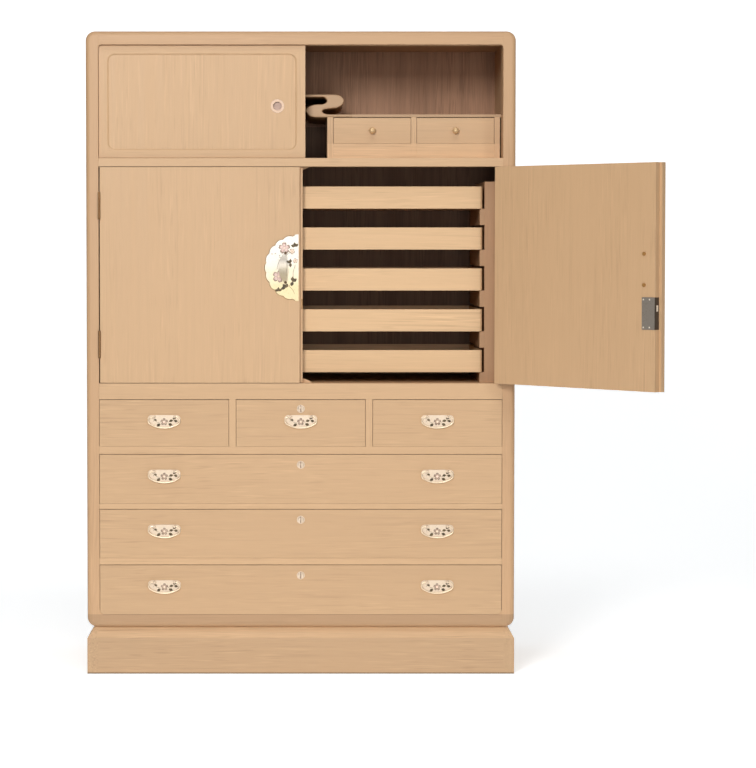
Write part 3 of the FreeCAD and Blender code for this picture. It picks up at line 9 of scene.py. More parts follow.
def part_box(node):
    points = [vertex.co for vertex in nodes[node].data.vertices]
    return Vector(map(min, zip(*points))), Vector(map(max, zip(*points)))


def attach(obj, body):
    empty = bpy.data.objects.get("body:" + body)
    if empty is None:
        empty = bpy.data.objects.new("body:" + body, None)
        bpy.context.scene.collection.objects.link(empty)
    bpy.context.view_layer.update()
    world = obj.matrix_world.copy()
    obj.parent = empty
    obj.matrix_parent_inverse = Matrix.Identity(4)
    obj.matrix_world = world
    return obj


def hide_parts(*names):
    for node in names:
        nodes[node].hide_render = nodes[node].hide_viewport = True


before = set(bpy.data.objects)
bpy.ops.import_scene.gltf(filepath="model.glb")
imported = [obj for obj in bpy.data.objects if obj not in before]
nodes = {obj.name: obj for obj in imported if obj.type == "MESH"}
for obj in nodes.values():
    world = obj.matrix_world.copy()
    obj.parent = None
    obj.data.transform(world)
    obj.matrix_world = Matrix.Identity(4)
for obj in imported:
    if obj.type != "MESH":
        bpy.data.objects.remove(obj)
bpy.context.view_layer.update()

# Looks of a tansu chest. Metres, +Z up, the front faces -Y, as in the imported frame.
random.seed(7)

# Places taken from the chest's construction
FRONT = -0.245
OPEN_HALF = 0.555
PLATE_THICK = 0.0016
PLATE_X = 0.009
PLATE_HIGH = 1.1223
PULL_X = 0.042
PULL_BOLT = 0.0403
HINGE_X = 0.5535
HINGE_Y = -0.2488
DOOR_ANGLE = math.radians(134.4)
SMALL_ROW = (0.630, 0.760)
PARTITION = (0.1786, 0.1977)
HANDLE_X = 0.3763
HANDLE_TOPS = {"small": SMALL_ROW[1], "wide_top": 0.609, "wide_middle": 0.457, "wide_bottom": 0.303}
HANDLE_PLATE_DOWN = 0.0433
LEAF_FRAME = 0.027
LEAF_BAND = 0.024
LEAF_FOOT = 0.0037
LEAF_HEAD = 0.009
PLINTH_BEVEL = 0.099
PLINTH_TOP = 0.13
PLINTH_END = 0.5601
BOTTOM_RAIL_TOP = 0.165
UPPER_RAIL_TOP = 1.423
BOX_RAIL = 0.042
BOX_SIDES = (0.0166, 0.0157)
BOX_TOP = 1.53
POST_FACE = 0.0121
BOLT_RADIUS = 0.0037
PULL_RISE = 0.003
DOOR_INSIDE = 0.02
KEY_SLOT_HALF = 0.0013
LOCK_EDGE = 0.0012
CUP_SHADE = (0.0004, 0.003)
FOOT_SHADE = (0.0015, 0.005)

MM = 0.001
HAIR = 0.1 * MM
HINGE = Vector((HINGE_X, HINGE_Y, 0))


def linear(red, green, blue):
    """A colour from its screen values between 0 and 255"""
    def channel(value):
        value /= 255
        return value / 12.92 if value <= 0.04045 else ((value + 0.055) / 1.055) ** 2.4
    return (channel(red), channel(green), channel(blue), 1)


def shade(colour, amount):
    return tuple(min(channel * amount, 1) for channel in colour[:3]) + (1,)


def turn_door(spot, angle):
    """A spot of the right door after the door's turn about its hinge"""
    return HINGE + Matrix.Rotation(angle, 3, "Z") @ (spot - HINGE)


# Materials

class Shader:
    """A material's node tree, built with short calls"""

    def __init__(self, name):
        self.material = bpy.data.materials.new(name)
        self.material.use_nodes = True
        self.tree = self.material.node_tree
        self.surface = self.tree.nodes["Principled BSDF"]

    def put(self, socket, value):
        if isinstance(value, bpy.types.NodeSocket):
            self.tree.links.new(value, socket)
        else:
            socket.default_value = value

    def add(self, kind, settings=None, inputs=None):
        node = self.tree.nodes.new("ShaderNode" + kind)
        for key, value in (settings or {}).items():
            setattr(node, key, value)
        for key, value in (inputs or {}).items():
            self.put(node.inputs[key], value)
        return node

    def math(self, operation, *values):
        node = self.add("Math", {"operation": operation})
        for socket, value in zip(node.inputs, values):
            self.put(socket, value)
        return node.outputs[0]

    def choose(self, factor, first, second):
        """A number that goes from first to second"""
        return self.add("Mix", {"data_type": "FLOAT"}, {0: factor, 2: first, 3: second}).outputs[0]

    def tint(self, factor, first, second):
        """A colour that goes from first to second"""
        return self.add("Mix", {"data_type": "RGBA"}, {0: factor, 6: first, 7: second}).outputs[2]

    def between(self, value, low, high):
        """0 under low, 1 over high"""
        return self.add("MapRange", {"clamp": True}, {0: value, 1: low, 2: high}).outputs[0]

    def vector(self, x, y, z):
        return self.add("CombineXYZ", inputs={0: x, 1: y, 2: z}).outputs[0]

    def scaled(self, place, *scales):
        """The coordinates as a vector, each times its scale"""
        return self.vector(*[self.math("MULTIPLY", value, scale) for value, scale in zip(place, scales)])

    def noise(self, vector, detail=1.0, roughness=0.5):
        settings = {"Vector": vector, "Scale": 1.0, "Detail": detail, "Roughness": roughness}
        return self.add("TexNoise", inputs=settings).outputs[0]

    def place(self, turned=False):
        """Object coordinates, turned back with the right door where asked"""
        spot = self.add("TexCoord").outputs["Object"]
        if turned:
            mapping = self.add("Mapping", inputs={"Vector": spot})
            mapping.inputs["Rotation"].default_value = (0, 0, -DOOR_ANGLE)
            mapping.inputs["Location"].default_value = turn_door(Vector(), -DOOR_ANGLE)
            spot = mapping.outputs[0]
        split = self.add("SeparateXYZ", inputs={0: spot})
        return split.outputs[0], split.outputs[1], split.outputs[2]

    def finish(self, colour, rough, metal=0.0, height=None, depth=0.0, strength=0.0, edge=None):
        """Joins the results to the surface. An edge is the radius that sharp edges look rounded to."""
        self.put(self.surface.inputs["Base Color"], colour)
        self.put(self.surface.inputs["Roughness"], rough)
        self.put(self.surface.inputs["Metallic"], metal)
        normal = None
        if edge:
            normal = self.add("Bevel", {"samples": 4}, {"Radius": edge}).outputs[0]
        if height is not None:
            inputs = {"Height": height, "Distance": depth, "Strength": strength}
            if normal is not None:
                inputs["Normal"] = normal
            normal = self.add("Bump", inputs=inputs).outputs[0]
        if normal is not None:
            self.put(self.surface.inputs["Normal"], normal)
        return self.material


def upright_stiles(shader, x, y, z):
    return shader.math("GREATER_THAN", shader.math("ABSOLUTE", x), OPEN_HALF + HAIR)


def upright_partitions(shader, x, y, z):
    side = shader.math("ABSOLUTE", x)
    beside = shader.math("MULTIPLY", shader.math("GREATER_THAN", side, PARTITION[0]),
                         shader.math("LESS_THAN", side, PARTITION[1]))
    level = shader.math("MULTIPLY", shader.math("GREATER_THAN", z, SMALL_ROW[0]),
                        shader.math("LESS_THAN", z, SMALL_ROW[1]))
    return shader.math("MULTIPLY", beside, level)


def upright_box_sides(shader, x, y, z):
    low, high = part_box("inner_box")
    over_rail = shader.math("GREATER_THAN", z, low[2] + BOX_RAIL + HAIR)
    ends = shader.math("ADD", shader.math("LESS_THAN", x, low[0] + BOX_SIDES[0]),
                       shader.math("GREATER_THAN", x, high[0] - BOX_SIDES[1]))
    return shader.math("MAXIMUM", over_rail, ends)


def upright_posts(shader, x, y, z):
    low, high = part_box("tray_racks")
    return shader.math("LESS_THAN", y, low[1] + POST_FACE)


def level_margins(shader, x, y, z):
    """The top and bottom members of a sliding door's mitred frame"""
    low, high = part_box("sliding_door_front")
    beside = shader.math("MINIMUM", shader.math("SUBTRACT", x, low[0]),
                         shader.math("SUBTRACT", high[0], x))
    over = shader.math("MINIMUM", shader.math("SUBTRACT", z, low[2] + LEAF_FOOT),
                       shader.math("SUBTRACT", high[2] - LEAF_HEAD, z))
    in_band = shader.math("LESS_THAN", over, LEAF_BAND)
    mitre = shader.math("MULTIPLY", beside, LEAF_BAND / LEAF_FRAME)
    return shader.math("MULTIPLY", in_band, shader.math("LESS_THAN", over, mitre))


def plinth_ends(shader, x, y, z):
    return shader.math("GREATER_THAN", shader.math("ABSOLUTE", x), PLINTH_END)


# Features of the wood in a metre, across and along the grain
WANDER = (2.5, 0.9)
CLOUDS = (4, 1.1)
BUSY = (8, 1.7)
STREAKS = (26, 0.7)
RINGS = (95, 1.5)
FIBRES = (620, 20)
PORES = (2200, 70)
# Short marks: features across and along the grain, and how much lighter (or darker, under 0) they are
MARKS = ((180, 4, -0.8), (290, 13, -0.9), (250, 11, 0.8))


def wood(name, colour, grain="level", mask=None, masked="up", turned=False, contrast=0.26, rough=0.5,
         edge=0.0012, bands=0.0, contact_shadow=False, painted_shading=()):
    """Straight-grained wood. Its grain runs up, level or deep, another way where the mask is 1.
    Bands are broad darker and lighter strips; a contact shadow is painted shade where the piece meets the
    floor; painted shading is (low, high, amount), the colour made darker (painted shade) or lighter (painted
    light) between two levels."""
    shader = Shader(name)
    x, y, z = shader.place(turned)
    ways = {"up": (x, y, z), "level": (z, y, x), "deep": (x, z, y)}
    across, deep, along = ways[grain]
    if mask is not None:
        factor = mask(shader, x, y, z)
        across, deep, along = [shader.choose(factor, first, second)
                               for first, second in zip(ways[grain], ways[masked])]
    shift = random.uniform(3, 60)

    def field(wide, long, sideways=None, detail=1.0, roughness=0.5):
        """Noise stretched along the grain, with so many features in a metre across and along it"""
        moved = across if sideways is None else shader.math("ADD", across, sideways)
        return shader.noise(shader.vector(
            shader.math("MULTIPLY_ADD", moved, wide, shift),
            shader.math("MULTIPLY", deep, wide),
            shader.math("MULTIPLY_ADD", along, long, shift)), detail, roughness)

    wander = shader.math("MULTIPLY", shader.math("SUBTRACT", field(*WANDER), 0.5), 0.05)
    rings = field(*RINGS, wander)
    fibre = field(*FIBRES, wander, roughness=0.6)
    pore = field(*PORES)
    tone = 0.5
    for part, weight in ((field(*CLOUDS, wander), 0.6), (rings, 0.65), (fibre, 0.6),
                         (field(*STREAKS, wander), bands)):
        if weight:
            part = shader.math("SUBTRACT", part, 0.5)
            tone = shader.math("MULTIPLY_ADD", part, weight * contrast, tone)
    marks = 0.0
    for wide, long, weight in MARKS:
        mark = shader.between(field(wide, long, wander, detail=0.0), 0.61, 0.78)
        marks = shader.math("MULTIPLY_ADD", mark, weight * contrast, marks)
    busy = shader.between(field(*BUSY), 0.40, 0.62)
    tone = shader.math("MULTIPLY_ADD", marks, shader.math("MULTIPLY_ADD", busy, 0.75, 0.25), tone)
    dark = shade(colour, 0.80)
    light = (min(colour[0] * 1.10, 1), colour[1] * 1.14, colour[2] * 1.17, 1)
    surface = shader.tint(shader.between(tone, 0, 1), dark, light)
    # Painted shade and painted light: the colour is made darker or lighter between two levels
    for low, high, amount in painted_shading:
        over = shader.math("GREATER_THAN", z, low)
        within = shader.math("MULTIPLY", over, shader.math("LESS_THAN", z, high))
        scale = shader.choose(within, 1.0, amount)
        surface = shader.add("VectorMath", {"operation": "SCALE"}, {0: surface, 3: scale}).outputs[0]
    # Painted contact shadow: the colour darkens over the lowest few millimetres, where the piece meets the
    # floor
    if contact_shadow:
        surface = shader.tint(shader.between(z, *FOOT_SHADE), shade(colour, 0.25), surface)
    height = shader.math("ADD", shader.math("MULTIPLY", fibre, 0.6), shader.math("MULTIPLY", pore, 0.4))
    gloss = shader.math("MULTIPLY_ADD", rings, 0.16, rough - 0.08)
    shader.surface.inputs["Specular IOR Level"].default_value = 0.42
    return shader.finish(surface, gloss, 0.0, height, 0.00025, 0.25, edge)


WORN_TINT = (0.80, 0.74, 0.66, 1)
METAL_EDGE = 0.4 * MM


def metal(name, colour, second=None, rough=0.4, metallic=0.4, levels=None, turned=False, spots=None,
          brushed=0.15):
    """Worn sheet metal that goes from one colour at a low level to a second at a high one"""
    shader = Shader(name)
    place = shader.place(turned)
    surface = colour
    if second is not None:
        cloud = shader.noise(shader.scaled(place, 30, 30, 30), 2.0)
        drift = shader.math("MULTIPLY", shader.math("SUBTRACT", cloud, 0.5), 0.05)
        level = shader.math("ADD", place[2], drift)
        surface = shader.tint(shader.between(level, *levels), colour, second)
    wear = shader.noise(shader.scaled(place, 260, 260, 260), 3.0)
    fine = shader.noise(shader.scaled(place, 3000, 3000, 500), 1.0)
    worn = shader.add("Mix", {"data_type": "RGBA", "blend_type": "MULTIPLY"},
                      {0: shader.between(wear, 0.55, 0.85), 6: surface, 7: WORN_TINT}).outputs[2]
    # Spots recolour parts of some pieces: brass nuts and dark bolts, and painted shade in recesses and on
    # raised parts
    if spots is not None:
        factor, dark = spots(shader, *place)
        worn = shader.tint(factor, worn, dark)
    gloss = shader.math("MULTIPLY_ADD", wear, 0.22, rough - 0.09)
    height = shader.math("ADD", shader.math("MULTIPLY", fine, brushed), shader.math("MULTIPLY", wear, 0.5))
    return shader.finish(worn, gloss, metallic, height, 0.0001, 0.3, METAL_EDGE)


def bolt_spots(side):
    """Darkens the bolts of a door pull, paints shade on the pull where it stands out from the plate, and
    makes the nuts on the door's inner face brass"""
    def factor(shader, x, y, z):
        level = shader.math("ABSOLUTE", shader.math("SUBTRACT", z, PLATE_HIGH))
        off_x = shader.math("SUBTRACT", x, side * PULL_X)
        off_z = shader.math("SUBTRACT", level, PULL_BOLT)
        square = shader.math("MULTIPLY_ADD", off_x, off_x, shader.math("MULTIPLY", off_z, off_z))
        near = shader.math("LESS_THAN", shader.math("SQRT", square), BOLT_RADIUS)
        # Painted shade on the raised pull
        proud_shade = shader.math("MULTIPLY", shader.math("LESS_THAN", y, FRONT - PULL_RISE), 0.35)
        behind = shader.math("GREATER_THAN", y, FRONT + DOOR_INSIDE)
        factor = shader.math("MAXIMUM", shader.math("MAXIMUM", near, proud_shade), behind)
        return factor, shader.tint(behind, linear(92, 66, 42), linear(176, 130, 74))
    return factor


def shut_box(name):
    """Lowest and highest corner of a piece of the right door, with the door turned shut"""
    spots = [turn_door(vertex.co, -DOOR_ANGLE) for vertex in nodes[name].data.vertices]
    return [[pick(spot[i] for spot in spots) for i in range(3)] for pick in (min, max)]


def lock_strip(shader, x, y, z):
    """The darker edge of the door lock, beside its plate"""
    low, high = shut_box("door_lock")
    return shader.math("LESS_THAN", x, low[0] + LOCK_EDGE), linear(84, 72, 60)


def key_slot_shade(shader, x, y, z):
    """Painted shade in the slot of the drawer locks, which all sit on the chest's middle line"""
    return shader.math("LESS_THAN", shader.math("ABSOLUTE", x), KEY_SLOT_HALF), linear(142, 112, 92)


def cup_shade(name):
    """Painted shade on the inside of a round pull behind its rim"""
    def factor(shader, x, y, z):
        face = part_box(name)[0][1]
        return shader.between(y, face + CUP_SHADE[0], face + CUP_SHADE[1]), linear(160, 134, 120)
    return factor


def assign(name, material):
    piece = nodes[name]
    piece.data.materials.clear()
    piece.data.materials.append(material)


FRONT_WOOD = linear(207, 168, 127)
# The frame is a little darker than the fronts: painted shade for its rounded stiles
FRAME_WOOD = linear(200, 159, 119)
CASE_WOOD = linear(204, 166, 126)
BACK_WOOD = linear(176, 132, 101)
INNER_WOOD = linear(186, 150, 114)
TRAY_WOOD = linear(219, 180, 136)
RACK_WOOD = linear(180, 137, 99)

WOODS = {
    # The plinth's face under its bevel is painted darker and the bevel lighter: painted shade and painted
    # light for light from above; its foot carries a painted contact shadow
    "plinth": dict(colour=CASE_WOOD, mask=plinth_ends, masked="deep", contrast=0.5, contact_shadow=True,
                   painted_shading=((0, PLINTH_BEVEL, 0.83), (PLINTH_BEVEL, PLINTH_TOP, 1.06))),
    "side_panels": dict(colour=CASE_WOOD, grain="up"),
    "top_panel": dict(colour=CASE_WOOD),
    "bottom_panel": dict(colour=INNER_WOOD),
    # The back panel is painted darker below the inner box's top: painted shade behind the trays and the box
    "back_panel": dict(colour=BACK_WOOD, grain="up", contrast=1.5, rough=0.6, bands=1.4,
                       painted_shading=((0, BOX_TOP, 0.6),)),
    # The bottom rail is painted darker: painted shade for its downward-facing rounding
    "front_frame": dict(colour=FRAME_WOOD, mask=upright_stiles, edge=0.003,
                        painted_shading=((PLINTH_TOP, BOTTOM_RAIL_TOP, 0.78),)),
    "upper_shelf": dict(colour=FRONT_WOOD),
    "waist_shelf": dict(colour=FRONT_WOOD),
    "drawer_frames": dict(colour=FRONT_WOOD, mask=upright_partitions),
    "staggered_shelves": dict(colour=INNER_WOOD),
    "scroll_bracket": dict(colour=INNER_WOOD, edge=0.005),
    # The inner box's base rail is painted lighter: painted light
    "inner_box": dict(colour=FRONT_WOOD, mask=upright_box_sides, contrast=0.5,
                      painted_shading=((UPPER_RAIL_TOP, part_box("inner_box")[0][2] + BOX_RAIL, 1.11),)),
    "tray_racks": dict(colour=RACK_WOOD, grain="deep", mask=upright_posts),
    "left_door_panel": dict(colour=FRONT_WOOD, grain="up"),
    # The right door's inner face is painted a little darker: painted shade, as it turns away from the lights
    "right_door_panel": dict(colour=shade(FRONT_WOOD, 0.98), grain="up", turned=True),
    "sliding_door_front": dict(colour=FRONT_WOOD, grain="up", mask=level_margins, masked="level"),
    "sliding_door_rear": dict(colour=FRONT_WOOD, grain="up", mask=level_margins, masked="level"),
    "inner_drawer_left": dict(colour=FRONT_WOOD),
    "inner_drawer_right": dict(colour=FRONT_WOOD),
}
DRAWERS = ("small_left", "small_middle", "small_right", "wide_top", "wide_middle", "wide_bottom")
for name in DRAWERS:
    # Lower drawers are painted darker: painted shade for less light low on the chest
    tone = {"wide_middle": 0.93, "wide_bottom": 0.90}.get(name, 0.96)
    WOODS["drawer_" + name] = dict(colour=shade(FRONT_WOOD, tone), contrast=0.36)
for number in range(1, 6):
    WOODS[f"tray_{number}"] = dict(colour=TRAY_WOOD, contrast=0.4)
for name, settings in WOODS.items():
    assign(name, wood("wood_" + name, **settings))

SILVER = linear(226, 220, 208)
GOLD = linear(222, 204, 160)
BRIGHT = linear(240, 220, 190)
STEEL = linear(148, 140, 130)
OLD_BRASS = linear(146, 112, 76)

plate_levels = (PLATE_HIGH - 0.05, PLATE_HIGH + 0.02)
for side, place in (("left", -1), ("right", 1)):
    assign(side + "_door_fittings", metal(
        "plate_" + side, GOLD, SILVER, 0.42, 0.4, plate_levels, side == "right", bolt_spots(place)))
bright = metal("bright_fittings", BRIGHT, rough=0.3, metallic=0.55)
gilt = metal("gilt_plates", linear(224, 204, 180), rough=0.42, metallic=0.35)
knob_metal = metal("knob_metal", linear(216, 182, 136), rough=0.36, metallic=0.35)
plug_metal = metal("plug_metal", linear(232, 212, 188), rough=0.34, metallic=0.4, spots=key_slot_shade)
for name in nodes:
    if name.startswith("bail_"):
        assign(name, bright)
    elif name.startswith("lock_plug_"):
        assign(name, plug_metal)
    elif name.startswith("inner_knob_"):
        assign(name, knob_metal)
    elif name.startswith("fittings_"):
        assign(name, gilt)
    elif name.startswith("sliding_pull_"):
        assign(name, metal("metal_" + name, linear(190, 162, 138), rough=0.42, metallic=0.35,
                           brushed=0.05, spots=cup_shade(name)))
hinge_metal = metal("hinge_metal", OLD_BRASS, rough=0.4, metallic=0.85)
for name in ("case_hinges", "left_door_hinges", "right_door_hinges"):
    assign(name, hinge_metal)
assign("door_lock", metal("lock_metal", STEEL, rough=0.42, metallic=0.5, turned=True,
                          spots=lock_strip))
assign("lock_bolt", metal("bolt_metal", linear(236, 226, 208), rough=0.35, metallic=0.3))


def smooth(points, steps=6):
    """A smooth line through a few points, as a list of closer points"""
    path = []
    for i in range(len(points) - 1):
        p0 = points[max(i - 1, 0)]
        p1 = points[i]
        p2 = points[i + 1]
        p3 = points[min(i + 2, len(points) - 1)]
        for step in range(steps):
            t = step / steps
            path.append(tuple(
                0.5 * (2 * b + (c - a) * t + (2 * a - 5 * b + 4 * c - d) * t * t
                       + (3 * b - a - 3 * c + d) * t ** 3)
                for a, b, c, d in zip(p0, p1, p2, p3)))
    path.append(points[-1])
    return path


def link(name, mesh, material, body):
    """Adds a made piece that rides on a body"""
    mesh.materials.append(material)
    piece = bpy.data.objects.new(name, mesh)
    bpy.context.scene.collection.objects.link(piece)
    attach(piece, body)
    return piece


# Blossoms and leaves on the plates, in low relief

class Sprig:
    """Collects the relief of one plate: x to the right and y up on the plate, z out of it"""

    def __init__(self):
        self.meshes = {}

    def mesh(self, kind):
        return self.meshes.setdefault(kind, bmesh.new())

    def dome(self, kind, rim, crown, height):
        """A low dome over a closed outline, with its crown at a given place"""
        made = self.mesh(kind)
        low = [made.verts.new((x, y, 0)) for x, y in rim]
        middle = [made.verts.new((crown[0] + (x - crown[0]) * 0.72, crown[1] + (y - crown[1]) * 0.72,
                                  height * 0.8)) for x, y in rim]
        top = made.verts.new((crown[0], crown[1], height))
        count = len(rim)
        for i in range(count):
            after = (i + 1) % count
            made.faces.new((low[i], low[after], middle[after], middle[i]))
            made.faces.new((middle[i], middle[after], top))
        made.faces.new(low[::-1])

    def petal(self, kind, centre, reach, angle, height):
        """A petal with a notched tip"""
        rim = []
        for u, v in ((0.10, 0.0), (0.34, 0.25), (0.62, 0.37), (0.86, 0.30), (1.0, 0.12), (0.88, 0.0)):
            rim.append((u, -v))
        rim += [(u, -v) for u, v in rim[-2:0:-1]]
        cosine = math.cos(angle)
        sine = math.sin(angle)
        rim = [(centre[0] + reach * (u * cosine - v * sine), centre[1] + reach * (u * sine + v * cosine))
               for u, v in rim]
        crown = (centre[0] + 0.6 * reach * cosine, centre[1] + 0.6 * reach * sine)
        self.dome(kind, rim, crown, height)

    def blossom(self, centre, reach, turn, petals="petals", heart="hearts"):
        """Five outlined petals about a small heart with stamens"""
        for i in range(5):
            angle = math.radians(turn + 72 * i)
            self.petal("outlines", centre, reach, angle, 0.2 * MM)
            self.petal(petals, centre, 0.8 * reach, angle, 0.6 * MM)
            tip = (centre[0] + 0.42 * reach * math.cos(angle), centre[1] + 0.42 * reach * math.sin(angle))
            self.dot(heart, tip, 0.055 * reach, 0.8 * MM)
            self.line(heart, [centre, tip], 0.03 * reach, 0.7 * MM)
        self.dot(heart, centre, 0.14 * reach, 0.8 * MM)

    def dot(self, kind, centre, radius, height):
        rim = [(centre[0] + radius * math.cos(math.radians(45 * i)),
                centre[1] + radius * math.sin(math.radians(45 * i))) for i in range(8)]
        self.dome(kind, rim, centre, height)

    def leaf(self, centre, long, angle):
        """A pointed leaf with a saw edge"""
        half = [(0, 0), (0.14, 0.22), (0.22, 0.20), (0.40, 0.36), (0.48, 0.31), (0.66, 0.29), (0.74, 0.20),
                (1.0, 0)]
        rim = [(u, -v) for u, v in half] + [(u, v) for u, v in half[-2:0:-1]]
        angle = math.radians(angle)
        cosine = math.cos(angle)
        sine = math.sin(angle)
        rim = [(centre[0] + long * (u * cosine - v * sine), centre[1] + long * (u * sine + v * cosine))
               for u, v in rim]
        crown = (centre[0] + 0.45 * long * cosine, centre[1] + 0.45 * long * sine)
        self.dome("leaves", rim, crown, 0.4 * MM)
        tip = (centre[0] + 0.8 * long * cosine, centre[1] + 0.8 * long * sine)
        self.line("stems", [centre, crown, tip], 0.09 * long, 0.75 * MM)

    def cluster(self, centre, long, angles):
        """Leaves that spread from one spot, all in millimetres"""
        for angle in angles:
            self.leaf((centre[0] * MM, centre[1] * MM), long * MM, angle)

    def line(self, kind, path, wide, height):
        """A low ridge along a path"""
        made = self.mesh(kind)
        rows = []
        for i, (x, y) in enumerate(path):
            before = path[max(i - 1, 0)]
            after = path[min(i + 1, len(path) - 1)]
            along = Vector((after[0] - before[0], after[1] - before[1])).normalized()
            side = (-along.y * wide / 2, along.x * wide / 2)
            rows.append([made.verts.new((x + side[0], y + side[1], 0)), made.verts.new((x, y, height)),
                         made.verts.new((x - side[0], y - side[1], 0))])
        for first, second in zip(rows, rows[1:]):
            made.faces.new((first[0], first[1], second[1], second[0]))
            made.faces.new((first[1], first[2], second[2], second[1]))
            made.faces.new((first[0], second[0], second[2], first[2]))
        made.faces.new(rows[0])
        made.faces.new(rows[-1][::-1])

    def branch(self, points, wide):
        """A bent stem through a few points, in millimetres"""
        path = [(x * MM, y * MM) for x, y in smooth(points)]
        self.line("stems", path, wide * MM, 0.3 * MM)

    def set_on(self, name, body, spot, materials, mirror=1, turned=False, outward=1, slot="fitting_plate"):
        """Makes the pieces of a plate at a spot on the chest's front"""
        for kind, made in self.meshes.items():
            mesh = bpy.data.meshes.new(f"{name}_{kind}")
            bmesh.ops.recalc_face_normals(made, faces=made.faces)
            made.to_mesh(mesh)
            for vertex in mesh.vertices:
                x, y, z = vertex.co
                moved = Vector((spot[0] + mirror * x, spot[1] - outward * z, spot[2] + y))
                vertex.co = turn_door(moved, DOOR_ANGLE) if turned else moved
            if mirror * outward < 0:
                mesh.flip_normals()
            link(f"{name}_{kind}", mesh, materials[kind], body)


def lacquer(name, colour, second, size, metallic=0.2):
    """Thin coloured lacquer over metal, clouded from one colour to another"""
    shader = Shader(name)
    place = shader.place()
    cloud = shader.noise(shader.scaled(place, size, size, size), 2.0)
    grit = shader.noise(shader.scaled(place, 2500, 2500, 2500))
    surface = shader.tint(shader.between(cloud, 0.35, 0.65), colour, second)
    gloss = shader.math("MULTIPLY_ADD", grit, 0.2, 0.3)
    return shader.finish(surface, gloss, metallic, grit, 0.00005, 0.3)


LACQUERS = {
    "petals": lacquer("petal_lacquer", linear(204, 172, 162), linear(222, 194, 184), 140),
    "hearts": lacquer("heart_lacquer", linear(250, 214, 198), linear(244, 224, 196), 200),
    "flowers": lacquer("flower_lacquer", linear(160, 134, 114), linear(190, 166, 144), 160),
    "outlines": lacquer("outline_lacquer", linear(126, 106, 92), linear(160, 138, 122), 160, metallic=0.3),
    "leaves": lacquer("leaf_lacquer", linear(58, 48, 30), linear(104, 86, 54), 180),
    "stems": lacquer("stem_lacquer", linear(110, 92, 70), linear(150, 132, 104), 120, metallic=0.5),
    # The rim's dark line is partly the plate's own outline and partly painted shadow at the plate's edge
    "rim": lacquer("rim_lacquer", linear(122, 94, 60), linear(164, 134, 92), 90, metallic=0.4),
}


def scallop_reach(angle):
    """Distance of the scalloped edge from the plate's centre in a direction"""
    lobes = 20
    notch = 88 * MM
    lobe = 91.5 * MM
    half = math.pi / lobes
    chord = 2 * notch * math.sin(half)
    rise = lobe - notch * math.cos(half)
    radius = chord * chord / (8 * rise) + rise / 2
    off = (angle + half) % (2 * half) - half
    hub = lobe - radius
    return hub * math.cos(off) + math.sqrt(radius ** 2 - (hub * math.sin(off)) ** 2)


RIM_INSET = 0.9 * MM
STRAIGHT_EDGE = 6.4 * MM


def half_plate_sprig():
    """Cherry blossoms and leaves for a half plate whose straight edge is on the right"""
    sprig = Sprig()
    rim = []
    for i in range(361):
        angle = math.radians(90 + i / 2)
        reach = scallop_reach(angle) - RIM_INSET
        spot = (reach * math.cos(angle), reach * math.sin(angle))
        if spot[0] < -STRAIGHT_EDGE:
            rim.append(spot)
    # A dark ridge inside the scalloped edge: the plate's outline with painted shadow in it
    sprig.line("rim", rim, 1.5 * MM, 0.3 * MM)
    for centre, reach, turn in (((-36, 54), 16.5, 20), ((-52, -24), 17.5, 75)):
        sprig.blossom((centre[0] * MM, centre[1] * MM), reach * MM, turn)
    for centre, reach, turn in (((-15, 45), 8, 50), ((-6, 19), 7, 30)):
        sprig.blossom((centre[0] * MM, centre[1] * MM), reach * MM, turn, "hearts", "outlines")
    for centre, long, angles in (
            ((-7, 58), 12, (40, 95, 160)), ((-20, 13), 12, (85, 150, 275)),
            ((-13, -38), 14, (35, 95, 250)), ((-33, -55), 13, (60, 125, 190)),
            ((-52, -64), 11, (30, 95, 160))):
        sprig.cluster(centre, long, angles)
    for spot in ((-70, 38), (-61, 39), (-49, 33)):
        sprig.dot("outlines", (spot[0] * MM, spot[1] * MM), 1.6 * MM, 0.4 * MM)
    for points in (((-8, 42), (-24, 40), (-34, 30), (-50, 28)), ((-46, 26), (-54, 8), (-56, -4)),
                   ((-6, 8), (-12, -14), (-12, -38), (-24, -50), (-33, -55), (-52, -65)),
                   ((-24, -50), (-14, -60), (-8, -72))):
        sprig.branch(points, 1.0)
    return sprig


def handle_sprig():
    """One flower with leaves for a drop handle's plate, measured from the middle of its top edge"""
    sprig = Sprig()
    sprig.blossom((0, -18.5 * MM), 10.5 * MM, 90, "flowers", "outlines")
    sprig.dot("hearts", (0, -18.5 * MM), 4 * MM, 1.0 * MM)
    for x, y, long, angle in (
            (14, -17, 11, 15), (25, -12, 13, 55), (27, -15, 11, -15), (12, -24, 12, -20),
            (-11, -24, 12, 215), (-20, -15, 9, 160)):
        sprig.leaf((x * MM, y * MM), long * MM, angle)
    for points in (((10, -20), (20, -17), (30, -16)), ((-10, -22), (-20, -19), (-27, -12), (-33, -10)),
                   ((-27, -12), (-30, -18))):
        sprig.branch(points, 0.8)
    return sprig


plate_y = FRONT - PLATE_THICK
half_plate_sprig().set_on("left_plate", "left_door", (-PLATE_X, plate_y, PLATE_HIGH), LACQUERS)
half_plate_sprig().set_on("right_plate", "right_door", (PLATE_X, plate_y, PLATE_HIGH), LACQUERS,
                          mirror=-1, turned=True)
HANDLES = [("small_left", -HANDLE_X, ""), ("small_middle", 0, ""), ("small_right", HANDLE_X, "")]
for row in ("wide_top", "wide_middle", "wide_bottom"):
    HANDLES += [(row, -HANDLE_X, "_left"), (row, HANDLE_X, "_right")]
for drawer, x, end in HANDLES:
    top = HANDLE_TOPS.get(drawer, HANDLE_TOPS["small"]) - HANDLE_PLATE_DOWN
    handle_sprig().set_on("handle_" + drawer + end, "drawer_" + drawer, (x, plate_y, top), LACQUERS)


# From the screws' middles to the lock's edge face, its far side and its ends
SCREW_INSETS = (0.018, 0.005, 0.006)


